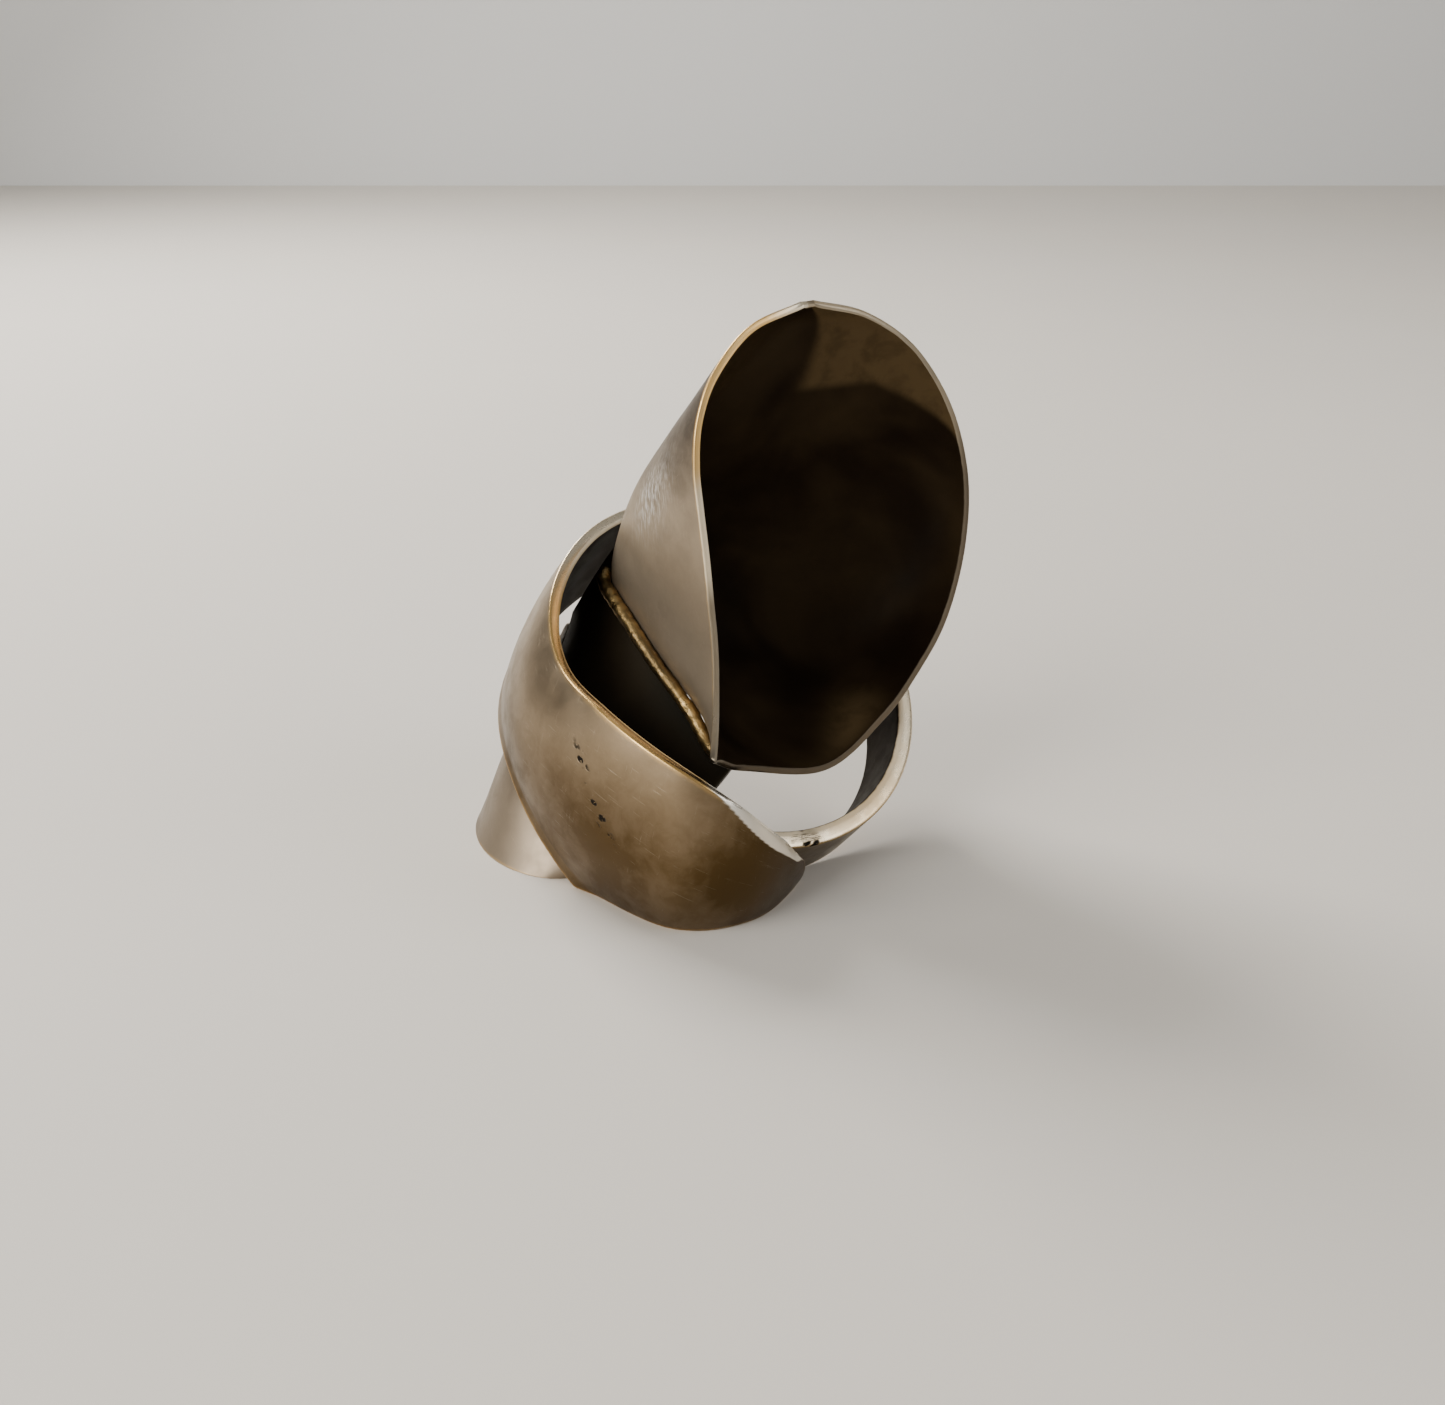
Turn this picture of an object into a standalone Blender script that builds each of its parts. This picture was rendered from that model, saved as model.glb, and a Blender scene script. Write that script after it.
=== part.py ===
"""Wrap-ring puzzle: a formed sheet ring with a loose, interlocked scoop link.

Metres, +Z up, origin at the middle of the bounding box on the table plane.
Every size is a named constant in millimetres below; the functions use only those names.
"""
import math

import bmesh
import bpy
import numpy as np
from mathutils import Matrix

MM = 0.001

# ---- common clearances -------------------------------------------------------
LAP_GAP = 0.10            # between two sheets that are soldered face to face
BUTT_GAP = 0.12           # between two sheet edges that meet end to end
BEAD_GAP = 0.06           # between a solder bead and the sheet it wets

# ---- frame of the ring: centre of the band's upper edge, and its axis --------
RING_X, RING_Y, RING_Z = 1.96, 0.72, 11.9
AXIS_AZIMUTH, AXIS_TILT = -54.5, 43.5      # degrees

# ---- ring link ---------------------------------------------------------------
BAND_R = 12.3             # outer radius of the band
BAND_W = 4.8              # width of the band along the axis
BAND_T = 1.15             # band stock
BAND_FROM, BAND_TO = -107.8, 112.0         # degrees round the axis, ends lapped in the leaf
LEAF_T = 0.80             # leaf stock
LEAF_R = BAND_R + LAP_GAP + LEAF_T         # outer radius of the leaf where it laps the band
# stations from tip to root: (angle, radius over LEAF_R, height along the axis)
LEAF_TOP = [(289, 0.0, -0.7), (278, 0.0, 2.3), (262, 0.0, 4.9), (246, 0.0, 5.7), (229, 0.0, 4.9),
            (212, 0.0, 3.3), (191, 0.1, 0.7), (166, 0.6, 0.0), (140, 0.7, 0.0), (98, 0.0, -0.1)]
LEAF_LOW = [(294, 0.0, -3.8), (287, 1.0, -3.0), (273, 3.3, -2.2), (258.5, 4.3, -3.4), (244, 2.4, -7.6),
            (224, 1.4, -8.0), (203, 1.1, -7.8), (175, 0.5, -9.1), (146, 0.1, -8.6), (101, 0.0, -4.8)]
LEAF_BULGE = [0.1, 0.4, 0.8, 1.0, 1.1, 1.0, 0.8, 0.4, 0.2, 0.0]
LEAF_RUNDOWN = 0.08       # share of the wall that runs below the table and is cut flush

# ---- scoop link --------------------------------------------------------------
BOWL_T = 0.45             # bowl stock
RIM_X, RIM_Y, RIM_Z = -2.5, -7.9, -1.2     # lower left rim corner, from the ring centre
RIM_TURN, RIM_LEAN = 35.0, 6.0             # degrees: mouth turned right, leaning back
# stations from bottom to top: left rim (across, up), right rim (across, up)
RIM_LEFT = [(0.0, -1.6), (0.5, 1.3), (0.75, 4.0), (0.8, 6.0), (0.7, 8.5), (0.6, 11.0),
            (0.4, 14.0), (0.3, 16.5), (0.7, 19.2), (2.0, 21.8), (4.7, 24.2), (8.6, 25.3)]
RIM_RIGHT = [(1.6, -2.5), (8.8, -4.3), (14.0, -2.0), (17.0, 0.5), (19.5, 3.5), (21.2, 7.6),
             (21.8, 12.0), (21.1, 16.0), (19.5, 19.3), (17.0, 22.2), (13.5, 24.3), (9.6, 25.3)]
BOWL_DEPTH = [0.1, 4.6, 10.6, 13.0, 13.0, 11.8, 9.8, 7.6, 5.4, 3.4, 1.7, 0.1]
BOWL_SPINE = [0.5, 0.32, 0.14, 0.08, 0.06, 0.06, 0.08, 0.12, 0.2, 0.32, 0.44, 0.5]
BOWL_SQUARE = [1.0, 1.4, 2.2, 2.6, 2.6, 2.4, 2.2, 1.9, 1.6, 1.3, 1.1, 1.0]

LINK_T = 0.80             # waist and foot stock
STOP_TURN = 2.2           # degrees from the waist's front edge to the band's lapped end, at rest
# waist: upper stations inside the bowl plug (across, up, depth), lower ones round the axis
# (angle, radius over BAND_R, height over the band's lower edge)
WAIST_TOP = [(4.5, 12.5, 10.8), (4.5, 3.0, 5.0), (5.5, -1.0, 1.8)]
WAIST_LOW = [(142, -0.34, -3.6), (198, -0.6, -2.6), (BAND_FROM + 360 - STOP_TURN, -0.2, -0.6)]
WAIST_BOW = 1.2           # how far the middle of the waist stands out
# foot: lower stations, from the ring centre on the table plane (x, y)
FOOT_LOW = [(-16.8, 9.5), (-18.4, 4.6), (-18.3, 0.4), (-16.6, -3.4), (-13.5, -5.7), (-10.2, -5.8)]
FOOT_LEAVE, FOOT_LAND = 1.0, 0.8           # how stiffly it follows the waist and the table run
FOOT_RUNDOWN = 0.09

BEAD_R = 0.32             # radius of the solder beads
HEEL_R = 0.42             # radius of the heavier bead between bowl and waist
EDGE_R = 0.14             # rounding of the sheet edges


def clear_scene():
    """Remove everything that the file starts with."""
    for ob in list(bpy.data.objects):
        bpy.data.objects.remove(ob, do_unlink=True)
    for col in list(bpy.data.collections):
        bpy.data.collections.remove(col)


def make_collection(name):
    """Return a new collection linked to the scene."""
    col = bpy.data.collections.new(name)
    bpy.context.scene.collection.children.link(col)
    return col


def make_material(name, colour, roughness):
    """Return a plain metal material."""
    mat = bpy.data.materials.new(name)
    mat.use_nodes = True
    shader = mat.node_tree.nodes["Principled BSDF"]
    shader.inputs["Base Color"].default_value = (*colour, 1.0)
    shader.inputs["Metallic"].default_value = 1.0
    shader.inputs["Roughness"].default_value = roughness
    mat.diffuse_color = (*colour, 1.0)
    return mat


# ---- frames --------------------------------------------------------------------
def ring_frame():
    """Return centre, two directions in the ring plane and the axis."""
    az, tilt = math.radians(AXIS_AZIMUTH), math.radians(AXIS_TILT)
    axis = np.array([math.sin(tilt) * math.cos(az), math.sin(tilt) * math.sin(az), math.cos(tilt)])
    e1 = np.array([1.0, 0.0, 0.0]) - axis * axis[0]
    e1 /= np.linalg.norm(e1)
    return np.array([RING_X, RING_Y, RING_Z]), e1, np.cross(axis, e1), axis


def rim_frame():
    """Return the corner of the mouth, its across, up and outward directions."""
    turn, lean = math.radians(RIM_TURN), math.radians(RIM_LEAN)
    out = np.array([math.sin(turn) * math.cos(lean), -math.cos(turn) * math.cos(lean), math.sin(lean)])
    across = np.array([math.cos(turn), math.sin(turn), 0.0])
    corner = np.array([RING_X + RIM_X, RING_Y + RIM_Y, RING_Z + RIM_Z])
    return corner, across, np.cross(out, across) * -1.0 if np.cross(out, across)[2] < 0 else \
        np.cross(out, across), out


def polar(angle, radius, height):
    """Point(s) given by angle in degrees, radius and height in the ring frame."""
    o, e1, e2, axis = ring_frame()
    t = np.radians(np.asarray(angle, float))
    r, z = np.asarray(radius, float), np.asarray(height, float)
    return (o + (r * np.cos(t))[..., None] * e1 + (r * np.sin(t))[..., None] * e2
            + z[..., None] * axis)


def through(stations, count):
    """Smooth curve through the stations (Catmull-Rom), sampled count times."""
    p = np.asarray(stations, float)
    if p.ndim == 1:
        p = p[:, None]
    m = len(p) - 1
    t = np.linspace(0.0, m, count)
    i = np.minimum(t.astype(int), m - 1)
    f = (t - i)[:, None]
    q = np.vstack([2 * p[0] - p[1], p, 2 * p[-1] - p[-2]])
    a, b, c, d = q[i], q[i + 1], q[i + 2], q[i + 3]
    return 0.5 * (2 * b + (c - a) * f + (2 * a - 5 * b + 4 * c - d) * f ** 2
                  + (3 * b - a - 3 * c + d) * f ** 3)


# ---- sheet surfaces (rows x columns x 3, millimetres) ----------------------------
def leaf_surface(rows, cols):
    """Outer face of the leaf: two edge curves joined by a wall that bulges outwards."""
    top = through([(a, LEAF_R + r, z) for a, r, z in LEAF_TOP], rows)
    low = through([(a, LEAF_R + r, z) for a, r, z in LEAF_LOW], rows)
    bulge = through(LEAF_BULGE, rows)
    v = np.linspace(0.0, 1.0 + LEAF_RUNDOWN, cols)[None, :, None]
    mix = top[:, None, :] * (1 - v) + low[:, None, :] * v
    out = bulge * np.clip(4 * v[..., 0] * (1 - v[..., 0]), 0.0, None)
    return polar(mix[..., 0], mix[..., 1] + out, mix[..., 2])


def band_surface(rows):
    """Outer face of the band: a plain cylinder strip."""
    angle = np.linspace(BAND_FROM, BAND_TO, rows)[:, None] + np.zeros((1, 3))
    height = np.linspace(0.0, -BAND_W, 3)[None, :] + np.zeros((rows, 1))
    return polar(angle, np.full_like(angle, BAND_R), height)


def bowl_surface(rows, cols, grow=0.0):
    """Outer face of the bowl: sections from the left to the right rim, deepest near the left."""
    corner, across, up, out = rim_frame()
    left, right = through(RIM_LEFT, rows), through(RIM_RIGHT, rows)
    depth = through(BOWL_DEPTH, rows) + grow
    spine = through(BOWL_SPINE, rows)
    square = through(BOWL_SQUARE, rows)
    t = np.linspace(-1.0, 1.0, cols)[None, :]
    turn = (1 - np.abs(t)) * math.pi / 2
    side = np.cos(turn) ** (2 / np.maximum(1.0, 1.6 + 0 * square))
    rise = np.where(t < 0, np.sin(turn) ** (2 / square), np.sin(turn) ** (2 / (0.55 + 0.55 * square)))
    x = np.where(t < 0, spine * (1 - side), spine + (1 - spine) * side)
    flat = left[:, None, :] * (1 - x[..., None]) + right[:, None, :] * x[..., None]
    if grow:
        middle = flat.mean(axis=(0, 1))
        flat = middle + (flat - middle) * (1 + grow / 10.0)
    return (corner + flat[..., :1] * across + flat[..., 1:] * up
            - (depth * rise)[..., None] * out)


def waist_edges(rows):
    """Upper and lower edge of the waist, its outward direction and its run at the lower edge."""
    corner, across, up, out = rim_frame()
    o, e1, e2, axis = ring_frame()
    top = np.array([corner + v * across + u * up - d * out for v, u, d in WAIST_TOP])
    low = np.array([polar(a, BAND_R + r, z - BAND_W) for a, r, z in WAIST_LOW])
    top, low = through(top, rows), through(low, rows)
    radial = low - o - ((low - o) @ axis)[:, None] * axis
    radial /= np.linalg.norm(radial, axis=1)[:, None]
    side = 0.5 * radial + 0.86 * axis
    run = low - top - 0.7 * math.pi * WAIST_BOW * side
    return top, low, side, run / np.linalg.norm(run, axis=1)[:, None]


def waist_surface(rows, cols):
    """Outer face of the waist: from inside the bowl plug down into the leaf."""
    top, low, side, run = waist_edges(rows)
    v = np.linspace(0.0, 1.0, cols)[None, :, None]
    lift = WAIST_BOW * np.sin(math.pi * v) * (1 - 0.3 * v)
    return top[:, None] * (1 - v) + low[:, None] * v + lift * side[:, None]


def foot_surface(rows, cols):
    """Outer face of the foot: leaves the waist in line with it and runs out to the table."""
    low, run = waist_edges(rows)[1::2]
    start = low + run * BUTT_GAP
    end = through([(RING_X + x, RING_Y + y, 0.0) for x, y in FOOT_LOW], rows)
    span = end - start
    reach = np.linalg.norm(span, axis=1)[:, None]
    v = np.linspace(0.0, 1.0 + FOOT_RUNDOWN, cols)[None, :, None]
    h1, h2 = v ** 3 - 2 * v ** 2 + v, v ** 3 - v ** 2
    h3 = 3 * v ** 2 - 2 * v ** 3
    return (start[:, None] + h3 * span[:, None] + h1 * (FOOT_LEAVE * run * reach)[:, None]
            + h2 * (FOOT_LAND * span)[:, None])


def waist_normals(pts, side):
    """Outward unit normals of the waist grid."""
    n = np.cross(np.gradient(pts, axis=0), np.gradient(pts, axis=1))
    n /= np.linalg.norm(n, axis=-1)[..., None]
    return n * np.sign((n * side[:, None]).sum(-1))[..., None]


def heel_seam():
    """Centres of the bead that touches both the waist's outer face and the bowl's outer face."""
    stand = HEEL_R + BEAD_GAP
    top, low, side, run = waist_edges(31)
    pts = waist_surface(31, 401)
    centres = pts + waist_normals(pts, side) * stand
    bowl = bowl_surface(120, 121).reshape(-1, 3)
    seam = []
    for row in centres[2:-2]:
        near = np.array([np.sqrt(((bowl - c) ** 2).sum(1).min()) for c in row[::-1]])
        hit = int(np.argmax(near < stand + 0.03))
        if near[hit] < stand + 0.03:
            seam.append(row[::-1][hit])
    return np.array(seam)


def foot_seam():
    """Centres of the bead on the inner side of the joint between waist and foot."""
    top, low, side, run = waist_edges(31)
    n = waist_normals(waist_surface(31, 41), side)[:, -1]
    return (low + run * BUTT_GAP * 0.5 - n * (LINK_T + BEAD_R + BEAD_GAP))[2:-2]


# ---- solids ----------------------------------------------------------------------
def grid_mesh(name, pts):
    """Open quad mesh from a rows x columns x 3 array in millimetres."""
    rows, cols = pts.shape[:2]
    idx = np.arange(rows * cols).reshape(rows, cols)
    quads = np.stack([idx[:-1, :-1], idx[1:, :-1], idx[1:, 1:], idx[:-1, 1:]], -1).reshape(-1, 4)
    mesh = bpy.data.meshes.new(name)
    mesh.from_pydata((pts.reshape(-1, 3) * MM).tolist(), [], quads.tolist())
    mesh.validate()
    return mesh


def add_object(name, mesh, col, mat):
    """Link an object with one material."""
    ob = bpy.data.objects.new(name, mesh)
    col.objects.link(ob)
    if mat:
        mesh.materials.append(mat)
    return ob


def sheet(name, pts, thick, inner, col, mat, edge=EDGE_R):
    """Sheet solid: Solidify towards the point `inner`, then rounded edges."""
    mesh = grid_mesh(name, pts)
    ob = add_object(name, mesh, col, mat)
    poly = mesh.polygons[len(mesh.polygons) // 2]
    to_inner = np.array(inner) * MM - np.array(poly.center)
    sign = -1.0 if float(np.dot(np.array(poly.normal), to_inner)) < 0 else 1.0
    solid = ob.modifiers.new("Stock", "SOLIDIFY")
    solid.thickness = thick * MM
    solid.offset = sign
    solid.use_even_offset = False
    if edge:
        bevel = ob.modifiers.new("Filed edge", "BEVEL")
        bevel.width = edge * MM
        bevel.segments = 2
        bevel.limit_method = "ANGLE"
        bevel.angle_limit = math.radians(50)
    for p in mesh.polygons:
        p.use_smooth = True
    return ob


def cutter_box(name, centre, size, col):
    """Wire box used to cut."""
    bpy.ops.mesh.primitive_cube_add(size=1.0, location=[c * MM for c in centre])
    ob = bpy.context.object
    ob.name = name
    ob.scale = [s * MM for s in size]
    for c in list(ob.users_collection):
        c.objects.unlink(ob)
    col.objects.link(ob)
    ob.hide_render = True
    ob.display_type = "WIRE"
    return ob


def cut(ob, tool):
    """Take the tool away from the object."""
    mod = ob.modifiers.new("Cut " + tool.name, "BOOLEAN")
    mod.operation = "DIFFERENCE"
    mod.solver = "EXACT"
    mod.object = tool


def bead(name, pts, radius, col, mat):
    """Solder bead: a round curve along the points with closed ends."""
    curve = bpy.data.curves.new(name, "CURVE")
    curve.dimensions = "3D"
    curve.bevel_depth = radius * MM
    curve.bevel_resolution = 2
    curve.use_fill_caps = True
    spline = curve.splines.new("POLY")
    spline.points.add(len(pts) - 1)
    for point, p in zip(spline.points, pts):
        point.co = (*(np.asarray(p) * MM), 1.0)
    ob = bpy.data.objects.new(name + "_curve", curve)
    mesh = bpy.data.meshes.new_from_object(ob)
    bpy.data.objects.remove(ob, do_unlink=True)
    mesh.name = name
    bm = bmesh.new()
    bm.from_mesh(mesh)
    bmesh.ops.remove_doubles(bm, verts=bm.verts, dist=0.00002)
    bmesh.ops.recalc_face_normals(bm, faces=bm.faces)
    bm.to_mesh(mesh)
    bm.free()
    mesh.materials.clear()
    return add_object(name, mesh, col, mat)


def bowl_plug(col):
    """Closed solid that fills the bowl and stands LAP_GAP outside it; trims the waist."""
    pts = bowl_surface(40, 33, grow=LAP_GAP)
    out = rim_frame()[3]
    mesh = grid_mesh("cut_bowl_plug", pts)
    ob = add_object("cut_bowl_plug", mesh, col, None)
    bm = bmesh.new()
    bm.from_mesh(mesh)
    border = [e for e in bm.edges if e.is_boundary]
    new = bmesh.ops.extrude_edge_only(bm, edges=border)["geom"]
    verts = [g for g in new if isinstance(g, bmesh.types.BMVert)]
    bmesh.ops.translate(bm, verts=verts, vec=(out * 3.0 * MM).tolist())
    bmesh.ops.holes_fill(bm, edges=[e for e in bm.edges if e.is_boundary], sides=0)
    bmesh.ops.recalc_face_normals(bm, faces=bm.faces)
    bm.to_mesh(mesh)
    bm.free()
    ob.hide_render = True
    ob.display_type = "WIRE"
    return ob


# ---- pieces ----------------------------------------------------------------------
def build_ring(col, tools, floor):
    """Leaf, band and the two solder seams of the outer link."""
    o, e1, e2, axis = ring_frame()
    silver = make_material("worn_silver", (0.62, 0.57, 0.48), 0.34)
    band_mat = make_material("band_silver", (0.70, 0.66, 0.56), 0.30)
    leaf = sheet("ring_leaf", leaf_surface(52, 12), LEAF_T, o - 3 * axis, col, silver)
    cut(leaf, floor)
    band = sheet("ring_band", band_surface(61), BAND_T, o - 2.4 * axis, col, band_mat, edge=0.22)
    cut(band, floor)
    solder = make_material("tip_solder_grey", (0.45, 0.40, 0.33), 0.5)
    off = math.degrees((BEAD_R + 2 * BEAD_GAP) / LEAF_R)
    inner = LEAF_R - LEAF_T - BEAD_R
    tip = [polar(angle, inner, BEAD_GAP + BEAD_R) for angle in np.linspace(280.0, 258.0, 16)]
    bead("ring_tip_solder", tip, BEAD_R, col, solder)
    root_grey = make_material("root_solder_grey", (0.42, 0.38, 0.31), 0.55)
    radius = BAND_R + BEAD_GAP + BEAD_R
    root = [polar(98 - off + 3 * k, radius, -0.6 - 3.5 * k) for k in np.linspace(0.0, 1.0, 8)]
    bead("ring_root_solder", root, BEAD_R, col, root_grey)


def build_scoop(col, tools, floor):
    """Bowl, waist, foot and their solder seams: the inner link."""
    corner, across, up, out = rim_frame()
    bowl_mat = make_material("bowl_silver", (0.60, 0.58, 0.53), 0.32)
    waist_mat = make_material("waist_tarnished", (0.22, 0.20, 0.16), 0.45)
    foot_mat = make_material("foot_silver", (0.64, 0.61, 0.56), 0.38)
    centre = corner + 10 * across + 10 * up + 4 * out
    sheet("scoop_bowl", bowl_surface(40, 29), BOWL_T, centre, col, bowl_mat, edge=0.0)
    o, e1, e2, axis = ring_frame()
    waist = sheet("scoop_waist", waist_surface(21, 14), LINK_T, o - 12 * axis, col, waist_mat)
    cut(waist, bowl_plug(tools))
    heel_grey = make_material("heel_solder_grey", (0.30, 0.27, 0.22), 0.55)
    bead("scoop_heel_solder", heel_seam(), HEEL_R, col, heel_grey)
    seam_grey = make_material("foot_solder_grey", (0.36, 0.33, 0.27), 0.55)
    bead("scoop_foot_solder", foot_seam(), BEAD_R, col, seam_grey)
    foot = sheet("scoop_foot", foot_surface(27, 9), LINK_T, o - 14 * axis, col, foot_mat)
    cut(foot, floor)


def pivot(name, col, members):
    """Empty at the ring's centre, on the swivel axis, that carries the members."""
    hub = bpy.data.objects.new(name, None)
    hub.empty_display_size = 4 * MM
    hub.location = [RING_X * MM, RING_Y * MM, RING_Z * MM]
    col.objects.link(hub)
    for ob in members:
        ob.parent = hub
        ob.matrix_parent_inverse = Matrix.Translation(hub.location).inverted()


def main():
    """Build the whole part."""
    clear_scene()
    part = make_collection("wrap_ring_puzzle")
    tools = make_collection("cutters")
    floor = cutter_box("cut_floor", (0, 0, -10), (80, 80, 20), tools)
    build_ring(part, tools, floor)
    build_scoop(part, tools, floor)
    for link in ("ring", "scoop"):
        pivot(link + "_pivot", part, [ob for ob in list(part.objects) if ob.name.startswith(link + "_")])


main()
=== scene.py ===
"""Looks of the wrap ring puzzle: a formed leaf ring and the loose scoop link hooked through it.

All shapes are worked out in millimetres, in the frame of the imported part, and put into the meshes in metres.
"""
import logging
import math
from dataclasses import dataclass, field
from enum import Enum
from typing import Callable, Dict, List, Optional, Sequence, Tuple

import bmesh
import bpy
import numpy as np
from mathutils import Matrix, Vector


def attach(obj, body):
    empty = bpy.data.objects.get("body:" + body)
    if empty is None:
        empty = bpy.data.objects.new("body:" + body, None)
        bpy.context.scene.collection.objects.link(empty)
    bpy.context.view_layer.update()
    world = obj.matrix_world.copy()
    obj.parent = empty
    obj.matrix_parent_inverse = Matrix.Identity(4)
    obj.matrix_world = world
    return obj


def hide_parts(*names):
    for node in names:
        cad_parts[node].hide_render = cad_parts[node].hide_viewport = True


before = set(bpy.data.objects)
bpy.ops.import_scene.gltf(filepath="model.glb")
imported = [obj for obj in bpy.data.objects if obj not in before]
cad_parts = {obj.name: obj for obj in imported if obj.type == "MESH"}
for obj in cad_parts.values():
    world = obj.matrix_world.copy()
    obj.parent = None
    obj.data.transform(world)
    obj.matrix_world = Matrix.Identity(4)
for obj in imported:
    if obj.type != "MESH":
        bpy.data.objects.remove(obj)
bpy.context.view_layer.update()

LOG = logging.getLogger("wrap_ring_puzzle")
MM = 0.001
Colour = Tuple[float, float, float]
Grid = np.ndarray
Surface = Callable[[Grid, Grid], Grid]
EDGE_PLACES = (0.0, 0.06, 0.22, 0.46, 0.74, 1.0)  # points of a rounded edge, in shares of its radius
INSIDE_SHIFT = 40.0  # millimetres between the patterns of a sheet's two faces


class Link(Enum):
    """The two loose links, by the name of the body that each piece rides on."""

    RING = "ring"
    SCOOP = "scoop"


class Stock(Enum):
    """Material slots of the part's record."""

    LEAF = "ring_leaf"
    BAND = "ring_band"
    RING_SOLDER = "ring_solder"
    BOWL = "scoop_bowl"
    WAIST = "scoop_waist"
    FOOT = "scoop_foot"
    SCOOP_SOLDER = "scoop_solder"


# ---- curves and frames -----------------------------------------------------------
def through(stations: Sequence, t: Grid) -> Grid:
    """Smooth curve through evenly spaced stations.

    The formula is Catmull-Rom: between two stations the curve is the cubic that passes through both, with each
    slope half the chord between the neighbours.

    Args:
        stations: one row of numbers for each station.
        t: places on the curve, 0 at the first station and 1 at the last, in any shape.

    Returns:
        The points, in the shape of t with one more axis.
    """
    p = np.asarray(stations, float)
    p = p[:, None] if p.ndim == 1 else p
    last = len(p) - 1
    s = np.clip(t, 0.0, 1.0) * last
    i = np.minimum(s.astype(int), last - 1)
    f = (s - i)[..., None]
    q = np.vstack([2 * p[0] - p[1], p, 2 * p[-1] - p[-2]])
    a, b, c, d = q[i], q[i + 1], q[i + 2], q[i + 3]
    return 0.5 * (2 * b + (c - a) * f + (2 * a - 5 * b + 4 * c - d) * f ** 2 + (3 * b - a - 3 * c + d) * f ** 3)


def unit(vectors: Grid) -> Grid:
    """The vectors, each made 1 long."""
    return vectors / np.linalg.norm(vectors, axis=-1)[..., None]


def bump_at(x: Grid, centre: float, width: float) -> Grid:
    """Bell curve of height 1 at the centre: e to the power of minus the squared distance over the width."""
    return np.exp(-((x - centre) / width) ** 2)


def ease(x: Grid, low: float, high: float) -> Grid:
    """Smooth step from 0 at low to 1 at high: three times the square less twice the cube."""
    t = np.clip((x - low) / (high - low), 0.0, 1.0)
    return t * t * (3 - 2 * t)


@dataclass(frozen=True)
class RingAxes:
    """Centre of the band's upper edge and the axis that the links swivel about."""

    centre: Tuple[float, float, float] = (1.96, 0.72, 11.9)
    azimuth: float = -54.5
    tilt: float = 43.5

    @property
    def origin(self) -> Grid:
        """Centre as an array."""
        return np.array(self.centre)

    @property
    def axis(self) -> Grid:
        """Unit vector along the axis."""
        az, tilt = math.radians(self.azimuth), math.radians(self.tilt)
        return np.array([math.sin(tilt) * math.cos(az), math.sin(tilt) * math.sin(az), math.cos(tilt)])

    def polar(self, angle: Grid, radius: Grid, height: Grid) -> Grid:
        """Points from an angle in degrees and a radius round the axis, and a height along it.

        Args:
            angle: degrees from the direction nearest to X.
            radius: millimetres from the axis.
            height: millimetres along the axis.

        Returns:
            Points in the part's frame.
        """
        axis = self.axis
        first = unit(np.array([1.0, 0.0, 0.0]) - axis * axis[0])
        second = np.cross(axis, first)
        t = np.radians(np.asarray(angle, float))
        r, z = np.asarray(radius, float), np.asarray(height, float)
        return (self.origin + (r * np.cos(t))[..., None] * first + (r * np.sin(t))[..., None] * second
                + z[..., None] * axis)


@dataclass(frozen=True)
class MouthAxes:
    """Lower left corner of the bowl's mouth and the directions across, up and out of it."""

    ring: RingAxes = RingAxes()
    offset: Tuple[float, float, float] = (-2.5, -7.9, -1.2)
    turn: float = 35.0
    lean: float = 6.0

    @property
    def across(self) -> Grid:
        """Unit vector from the left to the right rim."""
        turn = math.radians(self.turn)
        return np.array([math.cos(turn), math.sin(turn), 0.0])

    @property
    def out(self) -> Grid:
        """Unit vector out of the mouth."""
        turn, lean = math.radians(self.turn), math.radians(self.lean)
        return np.array([math.sin(turn) * math.cos(lean), -math.cos(turn) * math.cos(lean), math.sin(lean)])

    @property
    def up(self) -> Grid:
        """Unit vector up the mouth, square to the other two."""
        up = np.cross(self.out, self.across)
        return -up if up[2] < 0 else up

    def place(self, across: Grid, up: Grid, depth: Grid) -> Grid:
        """Points from distances across, up and into the mouth."""
        corner = self.ring.origin + np.array(self.offset)
        return (corner + np.asarray(across)[..., None] * self.across + np.asarray(up)[..., None] * self.up
                - np.asarray(depth)[..., None] * self.out)


RING = RingAxes()
MOUTH = MouthAxes()
STEADY = RING.axis + 0.015 * RING.polar(np.array(0.0), np.array(1.0), np.array(0.0))  # close to the axis
BEFORE_MOUTH = MOUTH.place(np.array(10.0), np.array(10.0), np.array(-4.0))  # 4 mm out of the bowl's mouth
SEAM_PLACES = np.linspace(2 / 30, 28 / 30, 27)  # places along the waist where its beads have a station


# ---- meshes ----------------------------------------------------------------------
def closed_mesh(name: str, points: Grid, quads: Grid, values: Dict[str, Grid]) -> bpy.types.Object:
    """Mesh object from points in millimetres, with its painted values.

    Args:
        name: name of the piece.
        points: vertices, one row each.
        quads: vertex indices of the faces.
        values: arrays by attribute name, with one number or one vector for each vertex.

    Returns:
        The linked object, at the origin, smooth shaded.
    """
    mesh = bpy.data.meshes.new(name)
    mesh.from_pydata((points * MM).tolist(), [], quads.tolist())
    for key, value in values.items():
        kind = "FLOAT_VECTOR" if value.ndim == 2 else "FLOAT"
        layer = mesh.attributes.new(key, kind, "POINT")
        layer.data.foreach_set("vector" if value.ndim == 2 else "value", value.astype(np.float32).ravel())
    mesh.polygons.foreach_set("use_smooth", np.ones(len(quads), bool))
    mesh.update()
    ob = bpy.data.objects.new(name, mesh)
    bpy.context.scene.collection.objects.link(ob)
    return ob


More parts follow.
